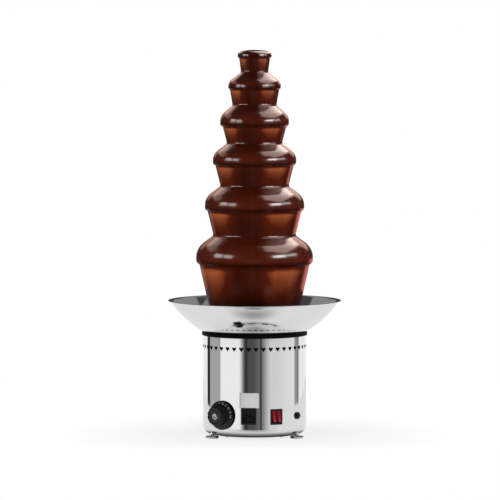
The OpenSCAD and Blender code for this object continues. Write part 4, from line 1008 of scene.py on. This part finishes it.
world = bpy.data.worlds.new("studio")
bpy.context.scene.world = world
world.use_nodes = True
sky = world.node_tree
from_camera, from_gloss = ray_kinds(sky)
room = 0.08 - 0.02 * from_gloss
room = room + (1 - room) * from_camera
sky.links.new(sky.nodes["Background"].inputs["Color"], room.socket)

# Lamps: soft ones in front and at both sides model the chocolate. Two strips on the right, two spots on the
# left and panels behind each shoulder lie on the falls as highlights, and low ones edge them. Three dim
# ones show in the bowl, a narrow spot lights the control panel, and one overhead lights the table.


def lamp(name, kind, bearing, lift, distance, watts, aim=(0, 0, 0.45), colour=(1, 1, 1),
         gloss=True, matt=True, lit=None):
    """A lamp that looks at a point from a bearing and a lift above the floor. It is seen by glossy or matt
    surfaces, of all things or of those lit."""
    light = bpy.data.lights.new(name, kind)
    light.energy, light.color = watts, colour
    made = bpy.data.objects.new(name, light)
    bpy.context.scene.collection.objects.link(made)
    a, e = np.radians(bearing), np.radians(lift)
    away = np.array([np.sin(a) * np.cos(e), -np.cos(a) * np.cos(e), np.sin(e)])
    made.location = np.array(aim) + away * distance
    made.rotation_euler = (np.pi / 2 - e, 0, a)
    made.visible_camera, made.visible_glossy, made.visible_diffuse = False, gloss, matt
    made.light_linking.receiver_collection = lit
    return light


def softbox(name, size, *place, **more):
    """A lamp with a flat face of a size, across and up."""
    light = lamp(name, "AREA", *place, **more)
    light.shape, light.size, light.size_y = "RECTANGLE", *size


softbox("right_strip", (0.75, 0.36), 50, 17, 1.7, 26, matt=False, lit=falls)
softbox("right_far_strip", (0.9, 0.34), 77, 18, 1.7, 10, matt=False, lit=falls)
softbox("left_spot", (0.54, 0.50), -53, 14.5, 1.7, 9, matt=False, lit=falls)
softbox("left_far_spot", (0.58, 0.50), -76, 15.5, 1.7, 10, matt=False, lit=falls)
softbox("right_panel", (3.4, 1.6), 110, 60, 2.0, 123, colour=(1, 0.80, 0.73), matt=False, lit=falls)
softbox("right_low_panel", (1.2, 1.0), 156, 26, 2.0, 8, colour=(1, 0.64, 0.52), matt=False, lit=falls)
softbox("left_low_panel", (1.0, 0.9), -158, 22, 2.0, 2.8, colour=(1, 0.45, 0.33), matt=False, lit=falls)
softbox("left_panel", (2.2, 0.66), -135, 35, 2.0, 8, colour=(1, 0.76, 0.69), matt=False, lit=falls)
softbox("right_edge", (1.05, 0.55), 150, -13, 2.0, 3.1, colour=(1, 0.30, 0.25), matt=False, lit=falls)
softbox("left_edge", (1.05, 0.45), -150, -15, 2.0, 0.9, colour=(1, 0.50, 0.38), matt=False, lit=falls)
softbox("front", (1.0, 0.8), 0, -14, 2.0, 20, gloss=False, lit=coats)
softbox("left_side", (0.9, 1.3), -85, 5, 2.0, 15, gloss=False, lit=coats)
softbox("right_side", (0.9, 1.3), 85, 5, 2.0, 15, gloss=False, lit=coats)
softbox("right_rim", (0.5, 1.3), 140, 6, 2.0, 14, colour=(1, 0.55, 0.55), gloss=False, lit=coats)
softbox("over_bowl", (3.0, 3.0), 90, 80, 2.5, 6, matt=False, lit=bowl_light)
softbox("bowl_right", (2.4, 1.6), 140, 24, 2.5, 2.6, matt=False, lit=bowl_light)
softbox("bowl_left", (2.4, 1.6), -140, 24, 2.5, 2.6, matt=False, lit=bowl_light)
softbox("overhead", (1.6, 1.6), 0, 80, 2.2, 24, gloss=False, lit=ground)
spot = lamp("panel_spot", "SPOT", 6, 12, 2.4, 170, aim=(0, -0.1, 0.06), gloss=False)
spot.spot_size, spot.spot_blend, spot.shadow_soft_size = np.radians(7.5), 0.5, 0.15

CAMERA_DISTANCE = 7.04
CAMERA_HEIGHT = 0.786
CAMERA_TILT = 3.25
CAMERA_TURN = 0.077
lens_data = bpy.data.cameras.new("camera")
lens_data.lens = 244.8
camera = bpy.data.objects.new("camera", lens_data)
bpy.context.scene.collection.objects.link(camera)
camera.location = (0, -CAMERA_DISTANCE, CAMERA_HEIGHT)
camera.rotation_euler = (np.radians(90 - CAMERA_TILT), 0, np.radians(CAMERA_TURN))
bpy.context.scene.camera = camera
bpy.context.scene.view_settings.view_transform = "Standard"
